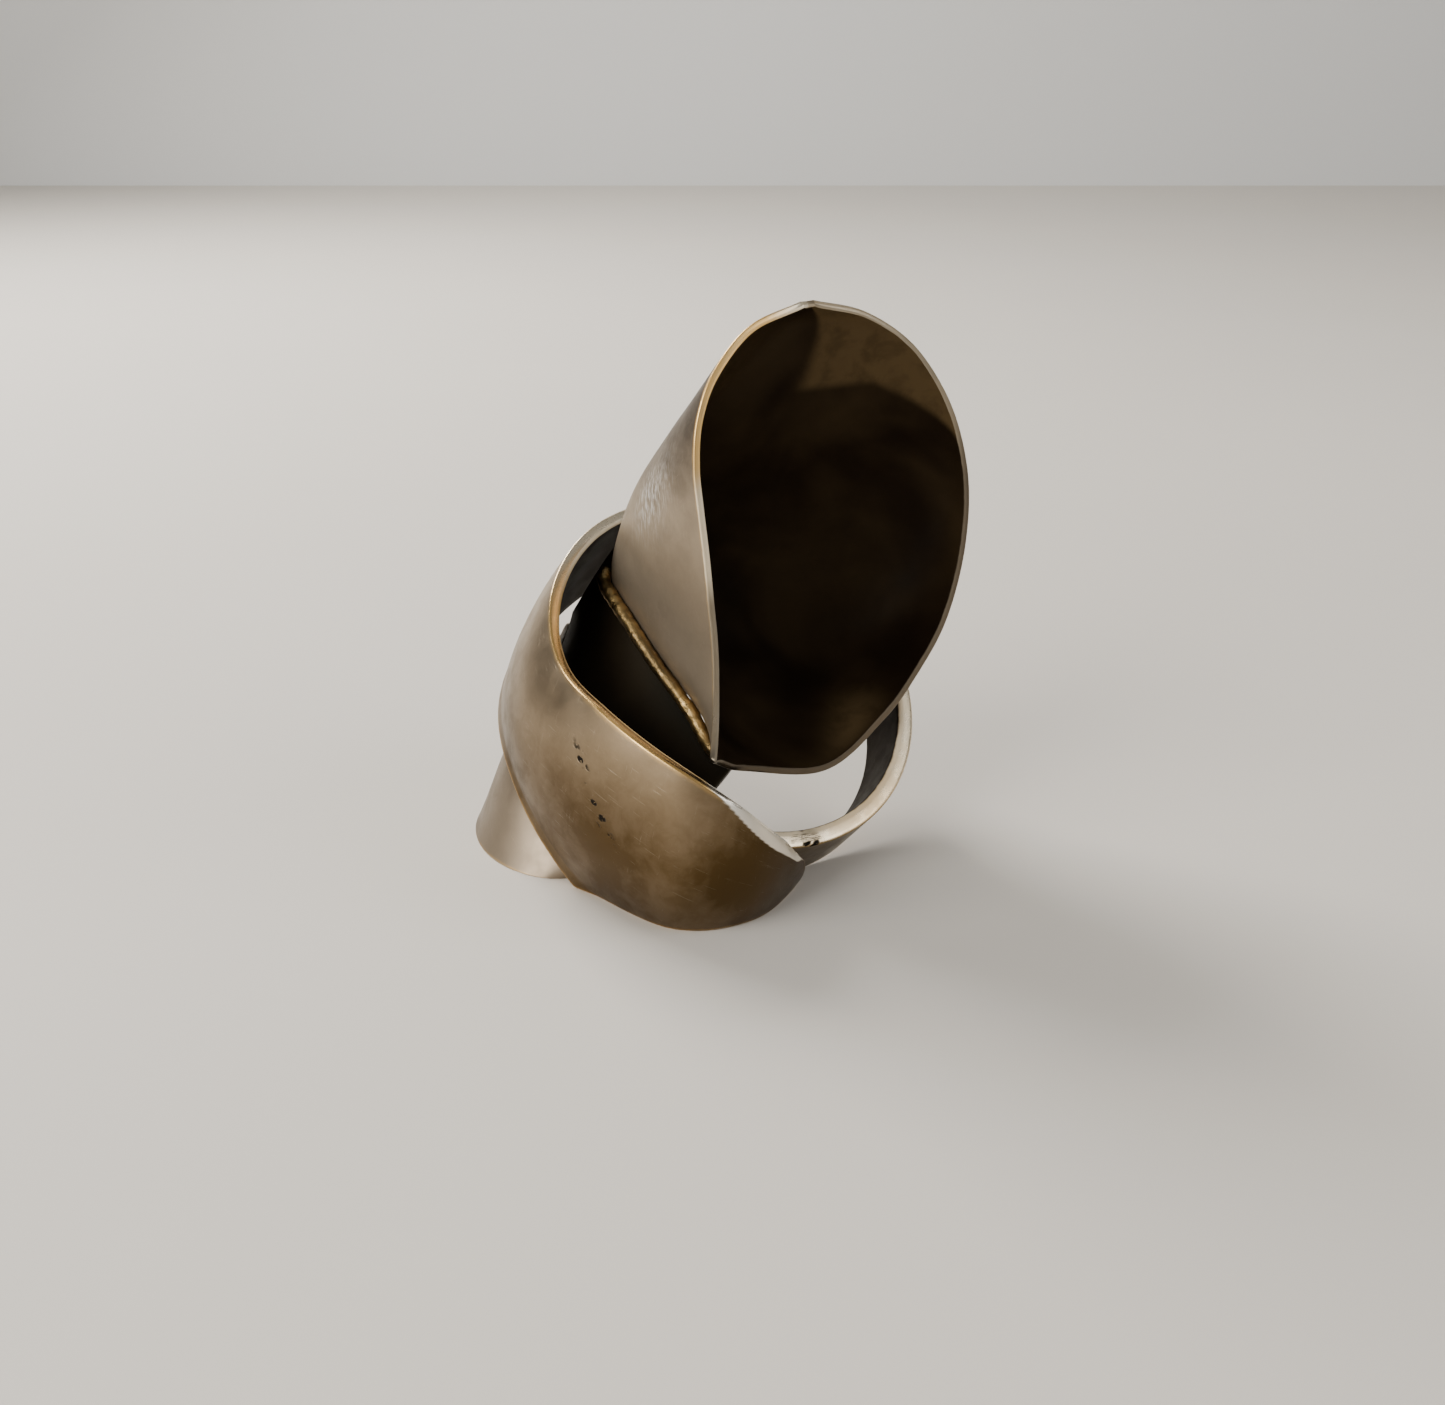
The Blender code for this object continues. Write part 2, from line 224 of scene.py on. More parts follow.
def merge_close(ob: bpy.types.Object, distance: float = 1e-6) -> None:
    """Make vertices that lie on each other one, as at the poles of a bead.

    Args:
        ob: object with a mesh.
        distance: metres within which two vertices are one.
    """
    bm = bmesh.new()
    bm.from_mesh(ob.data)
    bmesh.ops.remove_doubles(bm, verts=bm.verts, dist=distance)
    bmesh.ops.recalc_face_normals(bm, faces=bm.faces)
    bm.to_mesh(ob.data)
    bm.free()


@dataclass
class SheetForm:
    """A bent sheet with filed edges, worked out from the surface of its outer face.

    The inner face is the outer face moved by the stock along the normal. Near the outline both faces run down a
    quarter circle towards each other, and a wall joins them, so the sheet is closed all round.
    """

    surface: Surface
    inner_point: Grid
    thick: float
    edge: float
    rows: int = 180
    cols: int = 60
    corner_start: float = 0.0
    corner_end: float = 0.0
    on_table: bool = False
    filed: Optional[Callable[[Grid, Grid], Grid]] = None
    last: Optional[Callable[[Grid], Grid]] = None
    first: Optional[Callable[[Grid], Grid]] = None

    def _spacing(self, count: int, length: Grid) -> Grid:
        """Places 0 to 1 along each line, close together where the edge is rounded.

        Args:
            count: places between the two roundings.
            length: length of each line in millimetres.

        Returns:
            One row of places for each line.
        """
        near = self.edge * np.array(EDGE_PLACES)
        ends = near[None, :] / length[:, None]
        inner = np.linspace(0.0, 1.0, count)[1:-1][None, :]
        middle = ends[:, -1:] + (1 - 2 * ends[:, -1:]) * inner
        return np.hstack([ends, middle, 1 - ends[:, ::-1]])

    def _parameters(self) -> Tuple[Grid, Grid]:
        """Places of the grid's points: rows along the sheet, columns across it, corners rounded off."""
        u0, v0 = np.meshgrid(np.linspace(0, 1, 60), np.linspace(0, 1, 41), indexing="ij")
        coarse = self.surface(u0, self._across(u0, v0))
        run = np.linalg.norm(np.diff(coarse, axis=0), axis=2).sum(0)
        wide = np.linalg.norm(np.diff(coarse, axis=1), axis=2).sum(1)
        u = self._spacing(self.rows, np.array([np.median(run)]))[0]
        v = self._spacing(self.cols, np.interp(u, u0[:, 0], wide))
        u = np.repeat(u[:, None], v.shape[1], axis=1)
        low = self._pull(v, wide[0], self.corner_start) / np.median(run)
        high = 1.0 - self._pull(v, wide[-1], self.corner_end) / np.median(run)
        u = low + (high - low) * u
        return u, self._across(u, v)

    def _across(self, u: Grid, v: Grid) -> Grid:
        """Places across the sheet, between the lines where it starts and ends."""
        start = self.first(u) if self.first else np.zeros_like(u)
        end = self.last(u) if self.last else np.ones_like(u)
        return start + (end - start) * v

    @staticmethod
    def _pull(v: Grid, width: float, radius: float) -> Grid:
        """How far the end of each line draws back so that the outline's corners are quarter circles."""
        if radius <= 0:
            return np.zeros_like(v)
        s = np.clip((np.abs(2 * v - 1) * width / 2 - (width / 2 - radius)) / radius, 0.0, 1.0)
        return radius * (1 - np.sqrt(1 - s ** 2))

    def _normals(self, u: Grid, v: Grid) -> Grid:
        """Unit normals towards the inner side, from central differences of the surface."""
        e = 5e-4
        along = self.surface(np.clip(u + e, 0, 1), v) - self.surface(np.clip(u - e, 0, 1), v)
        across = self.surface(u, v + e) - self.surface(u, v - e)
        n = np.cross(along, across)
        return n / np.maximum(np.linalg.norm(n, axis=-1), 1e-12)[..., None]

    def build(self, name: str, paint: Callable[[Grid, Grid, Grid, Grid], Dict[str, Grid]]) -> bpy.types.Object:
        """Make the sheet.

        Args:
            name: name of the piece.
            paint: from the places along and across, the points and the millimetres below the first edge, the
                piece's painted values.

        Returns:
            The piece's object.
        """
        u, v = self._parameters()
        face = self.surface(u, v)
        n = self._normals(u, v)
        flip = float(((self.inner_point - face) * n).sum()) > 0
        n = n if flip else -n
        step_u = np.linalg.norm(np.diff(face, axis=0), axis=2)
        step_v = np.linalg.norm(np.diff(face, axis=1), axis=2)
        run_u = np.vstack([np.zeros((1, face.shape[1])), np.cumsum(step_u, axis=0)])
        run_v = np.hstack([np.zeros((face.shape[0], 1)), np.cumsum(step_v, axis=1)])
        gap = np.minimum(np.minimum(run_u, run_u[-1] - run_u), np.minimum(run_v, run_v[:, -1:] - run_v))
        r = self.edge
        drop = r - np.sqrt(np.maximum(r ** 2 - (r - np.minimum(gap, r)) ** 2, 0.0))
        outer_drop = drop if self.filed is None else np.maximum(drop, self.filed(u, run_v))
        outer = face + n * outer_drop[..., None]
        inner = face + n * np.maximum(self.thick - drop, outer_drop)[..., None]
        points = np.vstack([outer.reshape(-1, 3), inner.reshape(-1, 3)])
        if self.on_table:
            points[:, 2] = np.maximum(points[:, 2], 0.0)
        rows, cols = u.shape
        index = np.arange(rows * cols).reshape(rows, cols)
        quads = np.stack([index[:-1, :-1], index[1:, :-1], index[1:, 1:], index[:-1, 1:]], -1).reshape(-1, 4)
        loop = np.concatenate([index[::-1, 0], index[0, 1:], index[1:, -1], index[-1, -2::-1]])
        wall = np.stack([loop[:-1], loop[1:], loop[1:] + rows * cols, loop[:-1] + rows * cols], -1)
        faces = np.vstack([quads, quads[:, ::-1] + rows * cols, wall])
        faces = faces[:, ::-1] if flip else faces
        painted = paint(u, v, face, run_v)
        values = {key: np.concatenate([value.ravel(), value.ravel()]) for key, value in painted.items()}
        values["gap_mm"] = np.concatenate([gap.ravel(), gap.ravel()])
        values["inside"] = np.concatenate([np.zeros(rows * cols), np.ones(rows * cols)])
        both = np.stack([run_u, run_v, np.zeros_like(run_u)], -1).reshape(-1, 3)
        values["run_mm"] = np.vstack([both, both + np.array([0.0, 0.0, INSIDE_SHIFT])])
        return closed_mesh(name, points, faces, values)


@dataclass
class BeadForm:
    """A solder bead: a round profile carried along a path, with lumps, and drawn in at both ends."""

    path: Grid
    radius: float
    lumps: float = 0.06
    rows: int = 140
    cols: int = 20

    def build(self, name: str) -> bpy.types.Object:
        """Make the bead.

        The radius at each place is the bead's radius, less the share for lumps, plus two sine waves of that
        share. Within two radii of an end it is also times the square root of one minus the fourth power of how
        far into that stretch the place is, 0 at its start and 1 at the end, so both ends are round.

        Args:
            name: name of the piece.

        Returns:
            The piece's object.
        """
        t = np.linspace(0.0, 1.0, self.rows)
        line = through(self.path, t)
        run = np.concatenate([[0.0], np.cumsum(np.linalg.norm(np.diff(line, axis=0), axis=1))])
        ahead = unit(np.gradient(line, axis=0))
        side = unit(np.cross(ahead, STEADY))
        over = np.cross(side, ahead)
        end = np.clip(1 - np.minimum(run, run[-1] - run) / (2 * self.radius), 0.0, 1.0)
        waves = 0.5 * (np.sin(run * 3.1) + np.sin(run * 7.7 + 1.0))
        size = self.radius * (1 - self.lumps + self.lumps * waves)
        size = size * np.sqrt(np.maximum(1 - end ** 4, 0.0))
        angle = np.linspace(0.0, 2 * math.pi, self.cols, endpoint=False)
        ring = np.cos(angle)[None, :, None] * side[:, None] + np.sin(angle)[None, :, None] * over[:, None]
        points = (line[:, None] + size[:, None, None] * ring).reshape(-1, 3)
        index = np.arange(self.rows * self.cols).reshape(self.rows, self.cols)
        turned = np.roll(index, -1, axis=1)
        quads = np.stack([index[:-1], index[1:], turned[1:], turned[:-1]], -1).reshape(-1, 4)
        along = np.repeat(run, self.cols)
        around = np.tile(angle * self.radius, self.rows)
        values = {
            "gap_mm": np.full(len(points), 2.0),
            "inside": np.zeros(len(points)),
            "run_mm": np.stack([along, around, np.zeros_like(along)], -1),
        }
        ob = closed_mesh(name, points, quads, values)
        merge_close(ob)
        return ob


# ---- shader node groups ------------------------------------------------------------
class NodeSheet:
    """A node tree with short calls for the nodes that the finishes use."""

    def __init__(self, tree: bpy.types.NodeTree) -> None:
        """Keep the tree."""
        self.tree = tree

    def add(self, kind: str, **settings: object) -> bpy.types.Node:
        """New node of that type, with its properties set."""
        node = self.tree.nodes.new(kind)
        for key, value in settings.items():
            setattr(node, key, value)
        return node

    def join(self, source: object, target: bpy.types.NodeSocket) -> None:
        """Link an output to the input, or set the input to the number or colour given."""
        if isinstance(source, bpy.types.NodeSocket):
            self.tree.links.new(source, target)
        else:
            target.default_value = (*source, 1.0) if isinstance(source, tuple) and len(source) == 3 \
                and target.type == "RGBA" else source

    def value(self, key: str) -> bpy.types.NodeSocket:
        """A painted number of the piece."""
        return self.add("ShaderNodeAttribute", attribute_name=key).outputs["Fac"]

    def vector(self, key: str) -> bpy.types.NodeSocket:
        """A painted vector of the piece."""
        return self.add("ShaderNodeAttribute", attribute_name=key).outputs["Vector"]

    def maths(self, operation: str, a: object, b: object, clamp: bool = False) -> bpy.types.NodeSocket:
        """One sum on two values, by the node's operation."""
        node = self.add("ShaderNodeMath", operation=operation, use_clamp=clamp)
        self.join(a, node.inputs[0])
        self.join(b, node.inputs[1])
        return node.outputs[0]

    def times(self, a: object, b: object, clamp: bool = False) -> bpy.types.NodeSocket:
        """Product of two values."""
        return self.maths("MULTIPLY", a, b, clamp)

    def plus(self, a: object, b: object, clamp: bool = False) -> bpy.types.NodeSocket:
        """Sum of two values."""
        return self.maths("ADD", a, b, clamp)

    def remap(self, source: object, low: float, high: float, to_low: float = 0.0,
              to_high: float = 1.0) -> bpy.types.NodeSocket:
        """Smooth step of a value from one range to another."""
        node = self.add("ShaderNodeMapRange", interpolation_type="SMOOTHSTEP")
        self.join(source, node.inputs["Value"])
        for key, number in (("From Min", low), ("From Max", high), ("To Min", to_low), ("To Max", to_high)):
            node.inputs[key].default_value = number
        return node.outputs["Result"]

    def mix(self, factor: object, a: object, b: object) -> bpy.types.NodeSocket:
        """Mix of two colours."""
        node = self.add("ShaderNodeMix", data_type="RGBA")
        self.join(factor, node.inputs[0])
        self.join(a, node.inputs[6])
        self.join(b, node.inputs[7])
        return node.outputs[2]

    def noise(self, vector: object, scale: float, detail: float = 3.0, rough: float = 0.55,
              skew: float = 0.0) -> bpy.types.NodeSocket:
        """Noise value on a vector."""
        node = self.add("ShaderNodeTexNoise")
        self.join(vector, node.inputs["Vector"])
        node.inputs["Scale"].default_value = scale
        node.inputs["Detail"].default_value = detail
        node.inputs["Roughness"].default_value = rough
        node.inputs["Distortion"].default_value = skew
        return node.outputs["Fac"]

    def stretch(self, vector: object, scale: Tuple[float, float, float],
                turn: float = 0.0) -> bpy.types.NodeSocket:
        """Vector scaled along each axis after a turn about the third."""
        node = self.add("ShaderNodeMapping")
        self.join(vector, node.inputs["Vector"])
        node.inputs["Scale"].default_value = scale
        node.inputs["Rotation"].default_value = (0.0, 0.0, turn)
        return node.outputs["Vector"]

    def scaled(self, vector: object, factor: object) -> bpy.types.NodeSocket:
        """Vector times a value."""
        node = self.add("ShaderNodeVectorMath", operation="SCALE")
        self.join(vector, node.inputs[0])
        self.join(factor, node.inputs["Scale"])
        return node.outputs["Vector"]

    def group(self, tree: bpy.types.NodeTree, **inputs: object) -> bpy.types.Node:
        """A shared group, with its inputs linked or set."""
        node = self.add("ShaderNodeGroup", node_tree=tree)
        for key, source in inputs.items():
            self.join(source, node.inputs[key.replace("_", " ")])
        return node


def plain_finish(name: str) -> Tuple[bpy.types.Material, NodeSheet, bpy.types.Node]:
    """New material, its node sheet and its shader."""
    mat = bpy.data.materials.new(name)
    mat.use_nodes = True
    return mat, NodeSheet(mat.node_tree), mat.node_tree.nodes["Principled BSDF"]


def add_relief(s: NodeSheet, shader: bpy.types.Node, height: object, strength: float, depth: float) -> None:
    """Raise and sink the shaded surface.

    Args:
        s: node sheet of the material.
        shader: its shader.
        height: height of the surface, about 0 to 1.
        strength: share of the relief that shows.
        depth: metres that a height of 1 stands for.
    """
    bump = s.add("ShaderNodeBump")
    bump.inputs["Strength"].default_value = strength
    bump.inputs["Distance"].default_value = depth
    s.join(height, bump.inputs["Height"])
    s.join(bump.outputs["Normal"], shader.inputs["Normal"])


class Effects:
    """The shader groups that all finishes share, built once."""

    def __init__(self) -> None:
        """Build the groups."""
        self.wear = self._wear()
        self.cloud = self._cloud()
        self.scratches = self._scratches()
        self.pits = self._pits()
        self.grain = self._grain()

    @staticmethod
    def _new(name: str, inputs: Sequence[Tuple[str, str, object]],
             outputs: Sequence[str]) -> Tuple[NodeSheet, bpy.types.Node, bpy.types.Node]:
        """Start a group with named sockets.

        Args:
            name: name of the group.
            inputs: name, socket type and value of each input.
            outputs: names of the value outputs.

        Returns:
            The node sheet and the group's input and output nodes.
        """
        tree = bpy.data.node_groups.new(name, "ShaderNodeTree")
        for key, kind, value in inputs:
            socket = tree.interface.new_socket(key, in_out="INPUT", socket_type=kind)
            if value is not None:
                socket.default_value = value
        for key in outputs:
            tree.interface.new_socket(key, in_out="OUTPUT", socket_type="NodeSocketFloat")
        sheet = NodeSheet(tree)
        return sheet, sheet.add("NodeGroupInput"), sheet.add("NodeGroupOutput")

    def _wear(self) -> bpy.types.NodeTree:
        """Edge wear: full at the edge, gone at the width, its border broken by noise."""
        s, start, end = self._new("Edge wear", [
            ("Vector", "NodeSocketVector", None), ("Gap", "NodeSocketFloat", 1.0),
            ("Width", "NodeSocketFloat", 0.4), ("Break", "NodeSocketFloat", 0.6)], ["Mask"])
        rough = s.noise(start.outputs["Vector"], 900.0, 4.0, 0.6)
        shift = s.times(s.maths("SUBTRACT", rough, 0.5), start.outputs["Break"])
        far = s.maths("DIVIDE", start.outputs["Gap"], start.outputs["Width"])
        s.join(s.remap(s.plus(far, shift), 0.1, 1.0, 1.0, 0.0), end.inputs["Mask"])
        return s.tree

    def _cloud(self) -> bpy.types.NodeTree:
        """Cloudy tarnish: broad patches and finer mottling."""
        s, start, end = self._new("Tarnish cloud", [
            ("Vector", "NodeSocketVector", None), ("Scale", "NodeSocketFloat", 1.0)], ["Broad", "Fine"])
        scaled = s.scaled(start.outputs["Vector"], start.outputs["Scale"])
        broad = s.noise(scaled, 110.0, 3.0, 0.5, 0.4)
        fine = s.noise(scaled, 620.0, 5.0, 0.62, 0.3)
        s.join(s.remap(broad, 0.32, 0.68), end.inputs["Broad"])
        s.join(s.remap(fine, 0.3, 0.7), end.inputs["Fine"])
        return s.tree

    def _scratches(self) -> bpy.types.NodeTree:
        """Two crossing sets of thin long scratches on the run of the sheet."""
        s, start, end = self._new("Fine scratches", [
            ("Run", "NodeSocketVector", None), ("Amount", "NodeSocketFloat", 0.5)], ["Mask"])
        one = s.noise(s.stretch(start.outputs["Run"], (0.35, 9.0, 1.0), 0.35), 1.0, 3.0, 0.7)
        two = s.noise(s.stretch(start.outputs["Run"], (11.0, 0.5, 1.0), 0.2), 1.0, 3.0, 0.7)
        lines = s.maths("MAXIMUM", s.remap(one, 0.64, 0.7), s.remap(two, 0.66, 0.72))
        s.join(s.times(lines, start.outputs["Amount"]), end.inputs["Mask"])
        return s.tree

    def _pits(self) -> bpy.types.NodeTree:
        """Small dark pits of uneven shape inside a painted zone."""
        s, start, end = self._new("Pits", [
            ("Run", "NodeSocketVector", None), ("Zone", "NodeSocketFloat", 0.0),
            ("Size", "NodeSocketFloat", 1.0)], ["Mask"])
        scaled = s.scaled(start.outputs["Run"], start.outputs["Size"])
        bent = s.noise(scaled, 5.5, 2.0, 0.5, 1.2)
        spots = s.add("ShaderNodeTexVoronoi", feature="F1")
        s.join(s.stretch(scaled, (2.4, 3.6, 1.0), 0.3), spots.inputs["Vector"])
        spots.inputs["Scale"].default_value = 1.0
        near = s.remap(spots.outputs["Distance"], 0.3, 0.44, 1.0, 0.0)
        shape = s.times(near, s.remap(bent, 0.36, 0.44))
        s.join(s.times(shape, s.remap(start.outputs["Zone"], 0.25, 0.6)), end.inputs["Mask"])
        return s.tree

    def _grain(self) -> bpy.types.NodeTree:
        """Satin surface: very fine grain with shallow planishing marks."""
        s, start, end = self._new("Satin grain", [("Vector", "NodeSocketVector", None)], ["Height"])
        grain = s.noise(start.outputs["Vector"], 5200.0, 3.0, 0.6)
        dents = s.noise(start.outputs["Vector"], 260.0, 2.0, 0.4)
        s.join(s.plus(s.times(grain, 0.12), s.times(dents, 0.9)), end.inputs["Height"])
        return s.tree


@dataclass(frozen=True)
class SheetMasks:
    """What all steps of a plated finish read: its node sheet, its painted values and the shared effects."""

    s: NodeSheet
    run: bpy.types.NodeSocket
    gap: bpy.types.NodeSocket
    broad: bpy.types.NodeSocket
    fine: bpy.types.NodeSocket
    wear: bpy.types.NodeSocket
    lines: bpy.types.NodeSocket
    pits: bpy.types.NodeSocket
    grain: bpy.types.NodeSocket
    tarnish_and_shade: bpy.types.NodeSocket
    rim: bpy.types.NodeSocket
    filed: bpy.types.NodeSocket


@dataclass(frozen=True)
class PlatedSheet:
    """Silver-plated brass sheet: satin plate outside, tarnish inside, brass showing along its edges."""

    name: str
    plate: Colour
    plate_dark: Colour
    tarnish: Colour
    # lighter tarnish colour; on the bowl it is also the colour of the painted reflections inside
    tarnish_light_and_reflection: Colour
    brass: Colour = (0.70, 0.44, 0.15)
    rim_pale: Colour = (0.82, 0.74, 0.58)
    plate_rough: float = 0.36
    tarnish_rough: float = 0.48
    cloud_scale: float = 1.0
    scratch: float = 0.5
    wear_width: float = 0.5
    dent: float = 0.25
    tarnish_depth: float = 0.98
    metal: float = 1.0
    # colour of the pale painted highlight streaks on the bowl's outer wall
    highlight_colour: Colour = (0.62, 0.60, 0.57)
    bare: Colour = (0.80, 0.74, 0.63)
    pit: Colour = (0.012, 0.010, 0.008)

    def make(self, effects: Effects) -> bpy.types.Material:
        """Build the material.

        Painted values that it reads, each 0 where a piece has none: shade darkens the plate, streak lays
        pale painted highlight streaks on it, gilt turns the edge from pale to brass, grime darkens the edge,
        stain lightens the tarnish with painted reflections inside the bowl and lighter patches elsewhere,
        soot spreads the tarnish over the outer face as tarnish and painted deep shade, filed shows bare
        bright metal, and pitting holds the dark pits.

        Args:
            effects: the shared shader groups.

        Returns:
            The material.
        """
        mat, s, shader = plain_finish(self.name)
        m = self._masks(s, effects)
        s.join(self._colour(m), shader.inputs["Base Color"])
        s.join(self._roughness(m), shader.inputs["Roughness"])
        s.join(self._metal(m), shader.inputs["Metallic"])
        shader.inputs["Specular IOR Level"].default_value = 0.02
        add_relief(s, shader, self._height(m), 0.5, 0.08 * MM)
        return mat

    def _masks(self, s: NodeSheet, effects: Effects) -> SheetMasks:
        """Painted values and shared effects, as this finish sets them."""
        place = s.add("ShaderNodeTexCoord").outputs["Object"]
        run, gap = s.vector("run_mm"), s.value("gap_mm")
        cloud = s.group(effects.cloud, Vector=place, Scale=self.cloud_scale)
        fine = cloud.outputs["Fine"]
        return SheetMasks(
            s, run, gap, cloud.outputs["Broad"], fine,
            wear=s.group(effects.wear, Vector=place, Gap=gap, Width=self.wear_width, Break=0.9).outputs["Mask"],
            lines=s.group(effects.scratches, Run=run, Amount=self.scratch).outputs["Mask"],
            pits=s.group(effects.pits, Run=run, Zone=s.value("pitting"), Size=0.52).outputs["Mask"],
            grain=s.group(effects.grain, Vector=place).outputs["Height"],
            # tarnish on the inner faces, and tarnish painted over outer faces as tarnish and painted deep shade
            tarnish_and_shade=s.maths("MAXIMUM", s.remap(s.value("inside"), 0.72, 0.98), s.value("soot")),
            rim=s.remap(s.plus(gap, s.times(fine, 0.05)), 0.07, 0.2, 1.0, 0.0),
            filed=s.value("filed"))

    def _colour(self, m: SheetMasks) -> bpy.types.NodeSocket:
        """Plate outside, tarnish inside, then the edge, the filed flat and the pits."""
        s = m.s
        mottled = s.plus(s.times(m.broad, 0.34), s.times(m.fine, 0.16))
        dark = s.plus(mottled, s.maths("SUBTRACT", s.value("shade"), 0.18), clamp=True)
        plate = s.mix(dark, self.plate, self.plate_dark)
        plate = s.mix(s.times(m.wear, 0.4), plate, self.brass)
        plate = s.mix(s.times(m.lines, 0.22), plate, self.rim_pale)
        # painted highlight: pale streaks mixed into the plate where the streak value is painted
        highlight_streaks = s.remap(s.noise(s.stretch(m.run, (0.8, 6.0, 1.0), 0.5), 1.0, 3.0, 0.6), 0.42, 0.66)
        plate = s.mix(s.times(highlight_streaks, s.value("streak")), plate, self.highlight_colour)
        # lighter patches in the tarnish: painted reflections of the room inside the bowl, lighter patches on
        # the other pieces
        light = s.times(s.value("stain"), s.remap(m.fine, -1.2, 0.8), clamp=True)
        tarnish = s.mix(s.times(m.broad, 0.25), self.tarnish, self.tarnish_light_and_reflection)
        tarnish = s.mix(light, tarnish, self.tarnish_light_and_reflection)
        gilt = s.plus(s.value("gilt"), s.times(m.fine, 0.12), clamp=True)
        rim_colour = s.mix(s.value("grime"), s.mix(gilt, self.rim_pale, self.brass), self.plate_dark)
        colour = s.mix(m.rim, s.mix(m.tarnish_and_shade, plate, tarnish), rim_colour)
        return s.mix(m.pits, s.mix(m.filed, colour, self.bare), self.pit)

    def _roughness(self, m: SheetMasks) -> bpy.types.NodeSocket:
        """Rougher where it is mottled, tarnished or pitted, smoother along the edge."""
        s = m.s
        rough = s.plus(self.plate_rough - 0.05, s.times(m.fine, 0.12))
        rough = s.plus(rough, s.times(m.tarnish_and_shade, self.tarnish_rough - self.plate_rough))
        rough = s.maths("SUBTRACT", rough, s.times(m.rim, 0.1))
        return s.plus(rough, s.times(m.pits, 0.3), clamp=True)

    def _metal(self, m: SheetMasks) -> bpy.types.NodeSocket:
        """Metal on the plate and the edge, less under tarnish and in pits."""
        s = m.s
        clean = s.maths("SUBTRACT", 1.0, s.times(m.tarnish_and_shade, self.tarnish_depth))
        solid = s.times(clean, s.maths("MAXIMUM", m.rim, self.metal))
        return s.maths("SUBTRACT", solid, s.times(m.pits, 0.6), clamp=True)

    def _height(self, m: SheetMasks) -> bpy.types.NodeSocket:
        """Grain, sunk along scratches and pits, and file strokes on the filed flat."""
        s = m.s
        height = s.plus(s.times(m.grain, self.dent), s.times(m.lines, -0.12))
        height = s.plus(height, s.times(m.pits, -0.9))
        strokes = s.noise(s.stretch(m.run, (1.2, 9.0, 1.0), 0.5), 1.0, 2.0)
        return s.plus(height, s.times(s.times(m.filed, strokes), 0.5))


@dataclass(frozen=True)
class SolderSeam:
    """Solder bead: lumpy grey metal with tarnish in its hollows and a worn crest."""

    name: str
    crest: Colour
    hollow: Colour
    rough: float = 0.42
    scratched: Colour = (0.9, 0.82, 0.66)

    def make(self, effects: Effects) -> bpy.types.Material:
        """Build the material.

        Args:
            effects: the shared shader groups.

        Returns:
            The material.
        """
        mat, s, shader = plain_finish(self.name)
        place = s.add("ShaderNodeTexCoord").outputs["Object"]
        cloud = s.group(effects.cloud, Vector=place, Scale=2.2)
        lines = s.group(effects.scratches, Run=s.vector("run_mm"), Amount=0.6).outputs["Mask"]
        colour = s.mix(cloud.outputs["Broad"], self.crest, self.hollow)
        colour = s.mix(s.times(lines, 0.5), colour, self.scratched)
        s.join(colour, shader.inputs["Base Color"])
        s.join(s.plus(self.rough - 0.08, s.times(cloud.outputs["Fine"], 0.2)), shader.inputs["Roughness"])
        shader.inputs["Metallic"].default_value = 1.0
        grain = s.group(effects.grain, Vector=place).outputs["Height"]
        add_relief(s, shader, s.plus(grain, cloud.outputs["Fine"]), 0.6, 0.06 * MM)
        return mat


# ---- sub-assemblies ------------------------------------------------------------------
def finish_piece(ob: bpy.types.Object, material: bpy.types.Material, link: Link,
                 node: str) -> None:
    """Dress a piece and tie it to the part.

    Args:
        ob: the piece.
        material: its finish.
        link: the body that it rides on.
        node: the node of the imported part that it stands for.
    """
    ob.data.materials.clear()
    ob.data.materials.append(material)
    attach(ob, link.value)
    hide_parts(node)
    LOG.info("%s: %d faces", ob.name, len(ob.data.polygons))


def crossing(values: Grid, places: Grid) -> Grid:
    """Place in each row where the values first fall below zero, by straight interpolation.

    Args:
        values: rows of numbers.
        places: the places of the columns.

    Returns:
        One place for each row, the last place where a row stays above zero.
    """
    below = values < 0
    hit = np.argmax(below, axis=1)
    never = ~below.any(axis=1)
    hit = np.clip(hit, 1, values.shape[1] - 1)
    row = np.arange(len(values))
    a, b = values[row, hit - 1], values[row, hit]
    f = np.clip(a / np.where(np.abs(a - b) < 1e-9, 1e-9, a - b), 0.0, 1.0)
    found = places[hit - 1] + f * (places[hit] - places[hit - 1])
    return np.where(never, places[-1], found)


def table_line(surface: Surface, rundown: float, count: int, u: Grid) -> Grid:
    """Place across a sheet where it meets the table, or a little past its lower edge where it stays above.

    Args:
        surface: the sheet's outer face.
        rundown: how far past its lower edge the sheet may run, in shares of its width.
        count: lines across the sheet that are looked at.
        u: places along the sheet.

    Returns:
        One place across for each place along.
    """
    places, rows = np.linspace(0.0, 1.0 + rundown, 240), np.linspace(0.0, 1.0, count)
    uu, vv = np.meshgrid(rows, places, indexing="ij")
    return np.interp(u, rows, crossing(surface(uu, vv)[..., 2], places))


